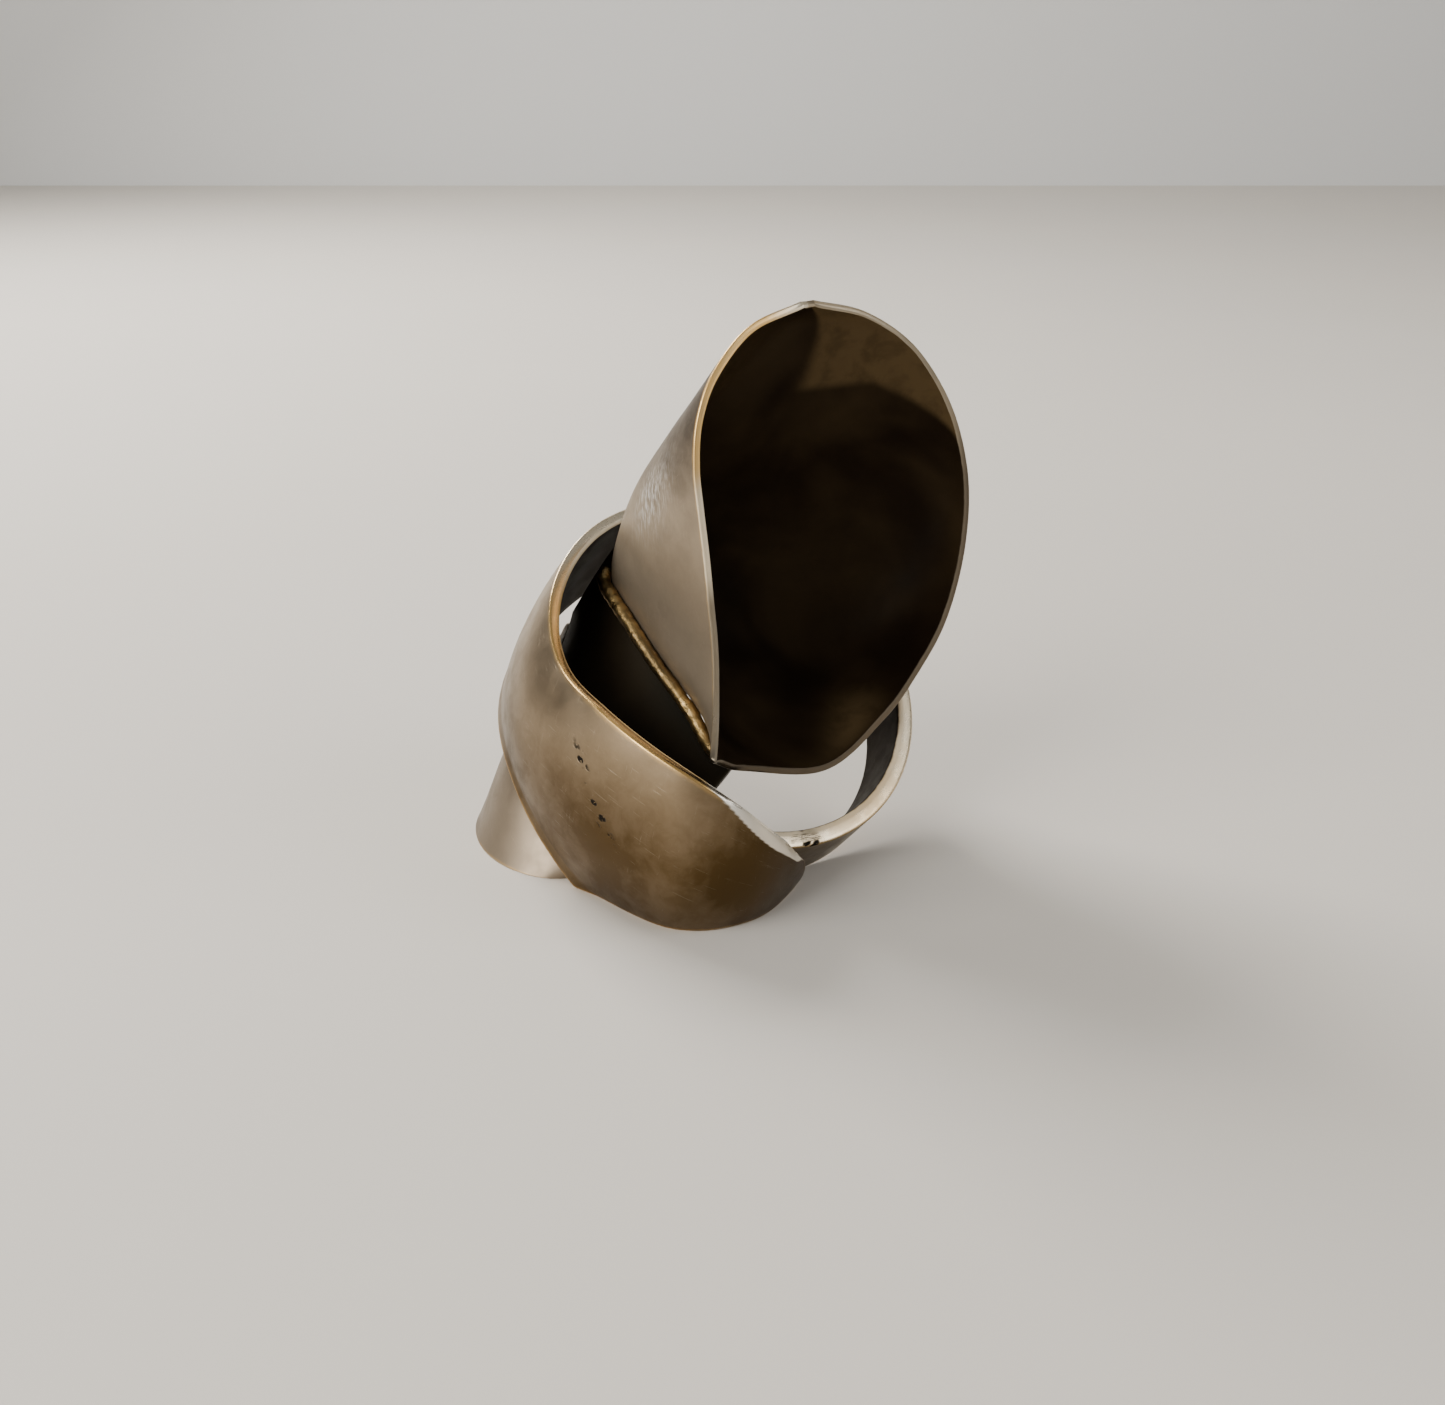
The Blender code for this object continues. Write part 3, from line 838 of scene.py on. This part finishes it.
@dataclass
class RingLink:
    """The outer link: the wide leaf, the narrow band that closes the ring, and the solder between them."""

    band_radius: float = 12.3
    band_width: float = 4.8
    band_stock: float = 1.15
    band_from: float = -107.8
    band_to: float = 112.0
    leaf_stock: float = 0.80
    lap: float = 0.10
    rundown: float = 0.08
    bead: float = 0.32
    bead_gap: float = 0.06
    top: List[Tuple[float, float, float]] = field(default_factory=lambda: [
        (289, 0.0, -0.7), (278, 0.0, 2.3), (262, 0.0, 4.9), (246, 0.0, 5.7), (229, 0.0, 4.9),
        (212, 0.0, 3.3), (191, 0.1, 0.7), (166, 0.6, 0.0), (140, 0.7, 0.0), (98, 0.0, -0.1)])
    low: List[Tuple[float, float, float]] = field(default_factory=lambda: [
        (294, 0.0, -3.8), (287, 1.0, -3.0), (273, 3.3, -2.2), (258.5, 4.3, -3.4), (244, 2.4, -7.6),
        (224, 1.4, -8.0), (203, 1.1, -7.8), (175, 0.5, -9.1), (146, 0.1, -8.6), (101, 0.0, -4.8)])
    bulge: List[float] = field(default_factory=lambda: [0.1, 0.4, 0.8, 1.0, 1.1, 1.0, 0.8, 0.4, 0.2, 0.0])

    @property
    def leaf_radius(self) -> float:
        """Outer radius of the leaf where it laps the band."""
        return self.band_radius + self.lap + self.leaf_stock

    def leaf_surface(self, u: Grid, v: Grid) -> Grid:
        """Outer face of the leaf: a mix of two edge curves round the axis, bulged by a parabola."""
        top, low = through(self.top, u), through(self.low, u)
        w = v[..., None]
        mix = top * (1 - w) + low * w
        out = through(self.bulge, u)[..., 0] * np.clip(4 * v * (1 - v), 0.0, None)
        return RING.polar(mix[..., 0], self.leaf_radius + mix[..., 1] + out, mix[..., 2])

    def leaf_end(self, u: Grid) -> Grid:
        """Place across the leaf where it ends, at the table or past its lower edge."""
        return table_line(self.leaf_surface, self.rundown, 400, u)

    @staticmethod
    def filed_width(u: Grid) -> Grid:
        """Width in millimetres of the filed flat along the upper edge, closing at the tip and behind it."""
        return 1.6 * ease(u, 0.01, 0.09) * (1 - ease(u, 0.15, 0.34))

    def leaf_filed(self, u: Grid, run: Grid) -> Grid:
        """Depth filed off the outer face near the tip: a plane that falls towards the upper edge."""
        return 0.4 * np.clip(self.filed_width(u) - run, 0.0, None)

    def leaf_paint(self, u: Grid, v: Grid, points: Grid, down: Grid) -> Dict[str, Grid]:
        """Painted values of the leaf."""
        low = points[..., 2] / 16.0
        return {
            "shade": np.clip(1.3 - 1.25 * low, 0.0, 0.9),
            "gilt": np.clip(0.15 + 0.8 * ease(u, 0.2, 0.3) * (1 - ease(u, 0.74, 0.84)), 0.0, 1.0),
            "stain": 0.2 * bump_at(u, 0.3, 0.2),
            "filed": ease(self.filed_width(u) - down, -0.02, 0.06),
            "pitting": bump_at(u, 0.545 - 0.38 * (v - 0.24), 0.022) * bump_at(v, 0.36, 0.16),
        }

    def band_surface(self, u: Grid, v: Grid) -> Grid:
        """Outer face of the band: a cylinder strip round the axis."""
        angle = self.band_from + (self.band_to - self.band_from) * u
        return RING.polar(angle, np.full_like(angle, self.band_radius), -self.band_width * v)

    def band_paint(self, u: Grid, v: Grid, points: Grid, down: Grid) -> Dict[str, Grid]:
        """Painted values of the band."""
        return {
            "shade": 0.18 + 0.25 * v,
            "gilt": 0.18 + 0.3 * bump_at(u, 0.3, 0.1),
            "grime": 0.5 * bump_at(u, 0.18, 0.015),
            "stain": np.clip(0.5 * bump_at(u, 0.12, 0.1), 0, 1),
            "pitting": bump_at(u, 0.17, 0.022) * (1 - ease(v, 0.02, 0.06)),
        }

    def build(self, effects: Effects) -> None:
        """Make and dress the four pieces.

        Args:
            effects: the shared shader groups.
        """
        leaf = SheetForm(self.leaf_surface, RING.origin - 3 * RING.axis, self.leaf_stock, edge=0.16, rows=300,
                         cols=90, corner_start=1.1, corner_end=0.6, on_table=True, filed=self.leaf_filed,
                         last=self.leaf_end).build("leaf_plate", self.leaf_paint)
        skin = PlatedSheet("Plated leaf", (0.345, 0.268, 0.18), (0.085, 0.052, 0.020), (0.010, 0.007, 0.004),
                           (0.05, 0.035, 0.018), wear_width=0.42, scratch=0.55)
        finish_piece(leaf, skin.make(effects), Link.RING, "ring_leaf")
        band = SheetForm(self.band_surface, RING.origin - 2.4 * RING.axis, self.band_stock, edge=0.28, rows=260,
                         cols=24, corner_start=0.4, corner_end=0.4, on_table=True
                         ).build("band_strip", self.band_paint)
        strip = PlatedSheet("Plated band", (0.28, 0.22, 0.145), (0.08, 0.055, 0.028), (0.010, 0.007, 0.004),
                            (0.028, 0.018, 0.010), wear_width=0.5, scratch=0.7, cloud_scale=1.6)
        finish_piece(band, strip.make(effects), Link.RING, "ring_band")
        off = math.degrees((self.bead + 2 * self.bead_gap) / self.leaf_radius)
        inner = self.leaf_radius - self.leaf_stock - self.bead
        angle = np.linspace(280.0, 258.0, 16)
        height = np.full(16, self.bead_gap + self.bead)
        tip = BeadForm(RING.polar(angle, np.full(16, inner), height), self.bead)
        grey = SolderSeam("Tip solder", (0.62, 0.54, 0.42), (0.20, 0.15, 0.10))
        finish_piece(tip.build("tip_solder"), grey.make(effects), Link.RING,
                     "ring_tip_solder")
        k = np.linspace(0.0, 1.0, 8)
        radius = self.band_radius + self.bead_gap + self.bead
        root = BeadForm(RING.polar(98 - off + 3 * k, np.full(8, radius), -0.6 - 3.5 * k), self.bead)
        dull = SolderSeam("Root solder", (0.50, 0.44, 0.35), (0.16, 0.12, 0.08))
        finish_piece(root.build("root_solder"), dull.make(effects), Link.RING,
                     "ring_root_solder")


@dataclass
class ScoopLink:
    """The inner link: the deep bowl, its waist and foot, and the solder between them."""

    bowl_stock: float = 0.45
    link_stock: float = 0.80
    lap: float = 0.10
    butt: float = 0.12
    bead: float = 0.32
    heel_bead: float = 0.42
    heel_fill: float = 0.07
    bead_gap: float = 0.06
    waist_bow: float = 1.2
    bow_fade: float = 0.3
    lift_out: float = 0.5
    lift_up: float = 0.86
    leave: float = 1.0
    land: float = 0.8
    rundown: float = 0.09
    left: List[Tuple[float, float]] = field(default_factory=lambda: [
        (0.0, -1.6), (0.5, 1.3), (0.75, 4.0), (0.8, 6.0), (0.7, 8.5), (0.6, 11.0),
        (0.4, 14.0), (0.3, 16.5), (0.7, 19.2), (2.0, 21.8), (4.7, 24.2), (8.6, 25.3)])
    right: List[Tuple[float, float]] = field(default_factory=lambda: [
        (1.6, -2.5), (8.8, -4.3), (14.0, -2.0), (17.0, 0.5), (19.5, 3.5), (21.2, 7.6),
        (21.8, 12.0), (21.1, 16.0), (19.5, 19.3), (17.0, 22.2), (13.5, 24.3), (9.6, 25.3)])
    depth: List[float] = field(default_factory=lambda: [
        0.1, 4.6, 10.6, 13.0, 13.0, 11.8, 9.8, 7.6, 5.4, 3.4, 1.7, 0.1])
    spine: List[float] = field(default_factory=lambda: [
        0.5, 0.32, 0.14, 0.08, 0.06, 0.06, 0.08, 0.12, 0.2, 0.32, 0.44, 0.5])
    square: List[float] = field(default_factory=lambda: [
        1.0, 1.4, 2.2, 2.6, 2.6, 2.4, 2.2, 1.9, 1.6, 1.3, 1.1, 1.0])
    waist_top: List[Tuple[float, float, float]] = field(default_factory=lambda: [
        (4.5, 12.5, 10.8), (4.5, 3.0, 5.0), (5.5, -1.0, 1.8)])
    waist_low: List[Tuple[float, float, float]] = field(default_factory=lambda: [
        (142, 11.96, -8.40), (198, 11.70, -7.40), (250, 12.1, -5.4)])
    foot_low: List[Tuple[float, float]] = field(default_factory=lambda: [
        (-16.8, 9.5), (-18.4, 4.6), (-18.3, 0.4), (-16.6, -3.4), (-13.5, -5.7), (-10.2, -5.8)])

    def bowl_surface(self, u: Grid, v: Grid) -> Grid:
        """Outer face of the bowl.

        Each section is a squared half oval from the left to the right rim. Its width is shared by a spine near
        the left, and its depth is the station's depth times a sine to a power, steep left and gentle right.
        """
        left, right = through(self.left, u), through(self.right, u)
        depth, spine = through(self.depth, u)[..., 0], through(self.spine, u)[..., 0]
        square = through(self.square, u)[..., 0]
        t = 2 * np.clip(v, 0.0, 1.0) - 1
        turn = (1 - np.abs(t)) * math.pi / 2
        side = np.clip(np.cos(turn), 0.0, 1.0) ** 1.25
        rise = np.sin(turn) ** np.where(t < 0, 2 / square, 2 / (0.55 + 0.55 * square))
        x = np.where(t < 0, spine * (1 - side), spine + (1 - spine) * side)[..., None]
        flat = left * (1 - x) + right * x
        return MOUTH.place(flat[..., 0], flat[..., 1], depth * rise)

    def bowl_paint(self, u: Grid, v: Grid, points: Grid, down: Grid) -> Dict[str, Grid]:
        """Painted values of the bowl."""
        left = 1 - ease(v, 0.3, 0.6)
        border = 0.745 - 0.62 * np.clip(v - 0.8, 0.0, 1.0)
        top_patch = ease(u, border - 0.012, border + 0.012) * ease(v, 0.655, 0.69)
        low_patch = bump_at(u, 0.16, 0.05) * bump_at(v, 0.93, 0.06)
        faint = bump_at(u, 0.45, 0.12) * bump_at(v, 0.75, 0.12)
        return {
            "shade": np.clip(0.3 * (1 - left) + 0.75 * ease(u, 0.46, 0.66) * left, 0.0, 1.0),
            # painted highlight: pale streaks high on the bowl's left outer wall
            "streak": bump_at(u, 0.56, 0.07) * bump_at(v, 0.2, 0.07),
            "gilt": np.clip(left * (0.75 * ease(u, 0.56, 0.64) * (1 - ease(u, 0.93, 1.0)) + 0.1)
                            + (1 - left) * 0.25, 0.0, 1.0),
            # darker rim on the lower left and all along the right side
            "grime": np.clip(left * 0.75 * (1 - ease(u, 0.34, 0.44))
                             + (1 - left) * (0.62 + 0.3 * (1 - ease(u, 0.55, 0.72))), 0.0, 1.0),
            # painted reflections: top_patch, low_patch and faint are lighter patches of painted room reflection
            # on the bowl's inside
            "stain": np.clip(0.85 * top_patch + 0.7 * low_patch + 0.12 * faint, 0.0, 1.0),
        }

    def waist_edges(self, u: Grid) -> Tuple[Grid, Grid, Grid, Grid]:
        """Upper and lower edge of the waist, its outward direction and its run at the lower edge."""
        top = through([MOUTH.place(*p) for p in np.array(self.waist_top)], u)
        low = through([RING.polar(*p) for p in np.array(self.waist_low, float)], u)
        arm = low - RING.origin
        radial = unit(arm - (arm @ RING.axis)[..., None] * RING.axis)
        side = self.lift_out * radial + self.lift_up * RING.axis
        run = low - top - (1 - self.bow_fade) * math.pi * self.waist_bow * side
        return top, low, side, unit(run)

    def waist_surface(self, u: Grid, v: Grid) -> Grid:
        """Outer face of the waist: straight between its edges, lifted by a half sine wave that fades."""
        top, low, side, _ = self.waist_edges(u)
        w = v[..., None]
        lift = (self.waist_bow * np.sin(math.pi * v) * (1 - self.bow_fade * v))[..., None]
        return top * (1 - w) + low * w + lift * side

    def waist_start(self, u: Grid) -> Grid:
        """Place across the waist where it comes clear of the bowl's outer face by the lap."""
        rows, places = np.linspace(0.0, 1.0, 41), np.linspace(0.0, 0.9, 121)
        edge = 0.004
        grid_u, grid_v = np.meshgrid(np.linspace(edge, 1 - edge, 90), np.linspace(edge, 1 - edge, 81),
                                     indexing="ij")
        bowl = self.bowl_surface(grid_u, grid_v)
        n = unit(np.cross(np.gradient(bowl, axis=0), np.gradient(bowl, axis=1)).reshape(-1, 3))
        bowl = bowl.reshape(-1, 3)
        n = n if float(((bowl - BEFORE_MOUTH) * n).sum()) > 0 else -n
        found = []
        for row in rows:
            line = self.waist_surface(np.full_like(places, row), places)
            away = ((line[:, None] - bowl[None]) ** 2).sum(-1)
            near = away.argmin(1)
            clear = ((line - bowl[near]) * n[near]).sum(-1) - self.lap
            found.append(places[-1] - crossing(clear[::-1][None], places[-1] - places[::-1])[0])
        return np.interp(u, rows, np.array(found))

    def waist_paint(self, u: Grid, v: Grid, points: Grid, down: Grid) -> Dict[str, Grid]:
        """Painted values of the waist."""
        zero = np.zeros_like(u)
        # painted deep shade: the waist darkens to tarnish colour towards its lower edge, which is tarnish and
        # painted deep shade inside the leaf
        return {"shade": zero + 0.2, "gilt": zero + 0.4, "grime": zero + 0.6, "stain": zero + 0.2,
                "soot": ease(v, 0.15, 0.5)}

    def foot_surface(self, u: Grid, v: Grid) -> Grid:
        """Outer face of the foot: a cubic that leaves the waist in line with it and lands along the table."""
        _, low, _, run = self.waist_edges(u)
        start = low + run * self.butt
        ends = [(RING.centre[0] + x, RING.centre[1] + y, 0.0) for x, y in self.foot_low]
        span = through(ends, u) - start
        reach = np.linalg.norm(span, axis=-1)[..., None]
        w = v[..., None]
        leave, land = w ** 3 - 2 * w ** 2 + w, w ** 3 - w ** 2
        return (start + (3 * w ** 2 - 2 * w ** 3) * span + leave * (self.leave * run * reach)
                + land * (self.land * span))

    def foot_end(self, u: Grid) -> Grid:
        """Place across the foot where it ends, at the table or past its lower edge."""
        return table_line(self.foot_surface, self.rundown, 300, u)

    def foot_paint(self, u: Grid, v: Grid, points: Grid, down: Grid) -> Dict[str, Grid]:
        """Painted values of the foot."""
        zero = np.zeros_like(u)
        # painted deep shade: the upper foot goes near black with tarnish colour, which is tarnish and painted
        # deep shade under the waist
        return {"shade": 0.3 * (1 - ease(v, 0.2, 0.6)), "gilt": zero + 0.2, "grime": zero + 0.4,
                "stain": zero + 0.2, "soot": 1 - ease(v, 0.22, 0.5)}

    def _waist_normals(self, u: Grid, v: Grid) -> Grid:
        """Outward unit normals of the waist."""
        e = 1e-3
        n = unit(np.cross(self.waist_surface(u + e, v) - self.waist_surface(u - e, v),
                          self.waist_surface(u, v + e) - self.waist_surface(u, v - e)))
        side = self.waist_edges(u)[2]
        return n * np.sign((n * side).sum(-1))[..., None]

    def heel_seam(self) -> Grid:
        """Centres of the bead that stands off the outer faces of both the waist and the bowl."""
        stand = self.heel_bead + self.bead_gap
        grid_u, grid_v = np.meshgrid(np.linspace(0, 1, 120), np.linspace(0, 1, 121), indexing="ij")
        bowl = self.bowl_surface(grid_u, grid_v).reshape(-1, 3)
        places = np.linspace(1.0, 0.0, 401)
        seam = []
        for row in SEAM_PLACES:
            u = np.full_like(places, row)
            line = self.waist_surface(u, places) + self._waist_normals(u, places) * stand
            near = np.sqrt(((line[:, None] - bowl[None]) ** 2).sum(-1).min(1))
            hit = int(np.argmax(near < stand + 0.03))
            if near[hit] < stand + 0.03:
                seam.append(line[hit])
        return np.array(seam)

    def foot_seam(self) -> Grid:
        """Centres of the bead on the inner side of the joint between waist and foot."""
        _, low, _, run = self.waist_edges(SEAM_PLACES)
        n = self._waist_normals(SEAM_PLACES, np.ones_like(SEAM_PLACES))
        return low + run * self.butt * 0.5 - n * (self.link_stock + self.bead + self.bead_gap)

    def build(self, effects: Effects) -> None:
        """Make and dress the five pieces.

        Args:
            effects: the shared shader groups.
        """
        bowl = SheetForm(self.bowl_surface, BEFORE_MOUTH, self.bowl_stock, edge=0.13, rows=260, cols=120,
                         corner_start=0.5).build("bowl_wall", self.bowl_paint)
        # the bowl's lighter tarnish colour also paints the reflections inside it
        wall = PlatedSheet("Plated bowl", (0.33, 0.265, 0.19), (0.075, 0.058, 0.042), (0.0075, 0.0042, 0.0022),
                           (0.085, 0.056, 0.026), wear_width=0.3, plate_rough=0.42, tarnish_rough=0.42,
                           metal=0.72)
        finish_piece(bowl, wall.make(effects), Link.SCOOP, "scoop_bowl")
        waist = SheetForm(self.waist_surface, RING.origin - 12 * RING.axis, self.link_stock, edge=0.12,
                          rows=110, cols=50, first=self.waist_start).build("waist_strap", self.waist_paint)
        # the waist's near-black colours are tarnish, darkened further by painted deep shade towards its lower
        # edge
        strap = PlatedSheet("Tarnished and shaded waist", (0.022, 0.023, 0.019), (0.010, 0.010, 0.008),
                            (0.012, 0.009, 0.006), (0.05, 0.036, 0.02), brass=(0.10, 0.075, 0.04),
                            rim_pale=(0.10, 0.085, 0.06), wear_width=0.3, plate_rough=0.40)
        finish_piece(waist, strap.make(effects), Link.SCOOP, "scoop_waist")
        foot = SheetForm(self.foot_surface, RING.origin - 14 * RING.axis, self.link_stock, edge=0.16, rows=160,
                         cols=60, corner_start=1.5, corner_end=1.5, on_table=True,
                         last=self.foot_end).build("foot_flap", self.foot_paint)
        flap = PlatedSheet("Plated foot", (0.25, 0.20, 0.145), (0.10, 0.075, 0.05), (0.02, 0.014, 0.008),
                           (0.07, 0.05, 0.03), wear_width=0.35, plate_rough=0.44, scratch=0.35)
        finish_piece(foot, flap.make(effects), Link.SCOOP, "scoop_foot")
        heel = BeadForm(self.heel_seam(), self.heel_bead + self.heel_fill)
        ridge = SolderSeam("Worn heel ridge", (0.50, 0.34, 0.14), (0.16, 0.11, 0.05), rough=0.34)
        finish_piece(heel.build("heel_ridge"), ridge.make(effects), Link.SCOOP,
                     "scoop_heel_solder")
        seam = BeadForm(self.foot_seam(), self.bead)
        dull = SolderSeam("Foot solder", (0.42, 0.36, 0.28), (0.14, 0.11, 0.07), rough=0.5)
        finish_piece(seam.build("foot_solder"), dull.make(effects), Link.SCOOP,
                     "scoop_foot_solder")


@dataclass(frozen=True)
class Studio:
    """Pale floor, soft lights and the camera."""

    floor: Colour = (0.66, 0.62, 0.56)
    sky: Colour = (0.80, 0.79, 0.77)
    sky_strength: float = 0.45
    wall: Colour = (0.70, 0.70, 0.69)
    reach: float = 3000.0
    wall_back: float = 460.0
    wall_top: float = 1600.0
    aim: Tuple[float, float, float] = (0.0, 0.0, 0.014)
    eye: Tuple[float, float, float] = (0.00036, -0.10358, 0.052)
    pitch: float = 68.0
    lens: float = 42.85

    def _light(self, name: str, place: Tuple[float, float, float], size: float, power: float,
               tint: Colour) -> None:
        """Soft square lamp that faces the object.

        Args:
            name: name of the lamp.
            place: where it stands, in metres.
            size: side of the lamp in metres.
            power: watts.
            tint: colour of the light.
        """
        data = bpy.data.lights.new(name, "AREA")
        data.size, data.energy, data.color = size, power, tint
        ob = bpy.data.objects.new(name, data)
        ob.location = place
        ob.rotation_euler = (Vector(self.aim) - Vector(place)).to_track_quat("-Z", "Y").to_euler()
        bpy.context.scene.collection.objects.link(ob)

    @staticmethod
    def _flat(name: str, corners: Sequence, rough: float) -> Tuple[NodeSheet, bpy.types.NodeSocket]:
        """Large flat of four points that only belongs to the room.

        Args:
            name: name of the flat and of its finish.
            corners: its four points in millimetres.
            rough: roughness of its finish.

        Returns:
            The node sheet of its finish and the socket for the colour.
        """
        ob = closed_mesh(name, np.array(corners), np.array([[0, 1, 2, 3]]), {})
        mat, s, shader = plain_finish(name.replace("_", " ").capitalize())
        shader.inputs["Roughness"].default_value = rough
        ob.data.materials.append(mat)
        return s, shader.inputs["Base Color"]

    def _room(self) -> None:
        """Wide floor with a faint mottle, and a pale wall behind it."""
        half, back, top = self.reach, self.wall_back, self.wall_top
        ground = [[-half, -half, 0.0], [half, -half, 0.0], [half, half, 0.0], [-half, half, 0.0]]
        s, colour = self._flat("pale_floor", ground, 0.8)
        patches = s.noise(s.add("ShaderNodeTexCoord").outputs["Object"], 14.0)
        s.join(s.mix(patches, self.floor, tuple(0.94 * c for c in self.floor)), colour)
        upright = [[-half, back, 0.0], [half, back, 0.0], [half, back, top], [-half, back, top]]
        s, colour = self._flat("pale_wall", upright, 0.9)
        s.join(self.wall, colour)

    def build(self) -> None:
        """Set up the room, the world, the lamps and the camera."""
        self._room()
        world = bpy.data.worlds.new("Soft room")
        world.use_nodes = True
        back = world.node_tree.nodes["Background"]
        back.inputs["Color"].default_value = (*self.sky, 1.0)
        back.inputs["Strength"].default_value = self.sky_strength
        bpy.context.scene.world = world
        self._light("key_window", (-0.20, 0.24, 0.26), 0.20, 2.3, (1.0, 0.97, 0.93))
        self._light("front_fill", (-0.30, -0.24, 0.18), 0.30, 2.0, (1.0, 0.97, 0.92))
        self._light("right_fill", (0.34, -0.10, 0.22), 0.24, 0.5, (0.96, 0.97, 1.0))
        data = bpy.data.cameras.new("view")
        data.lens, data.sensor_width, data.clip_start = self.lens, 36.0, 0.001
        camera = bpy.data.objects.new("view", data)
        camera.location = self.eye
        camera.rotation_euler = (math.radians(self.pitch), 0.0, 0.0)
        bpy.context.scene.collection.objects.link(camera)
        bpy.context.scene.camera = camera


def main() -> None:
    """Build the two links and the studio in order."""
    logging.basicConfig(level=logging.INFO, format="%(name)s: %(message)s")
    effects = Effects()
    RingLink().build(effects)
    ScoopLink().build(effects)
    Studio().build()


if __name__ == "__main__":
    main()
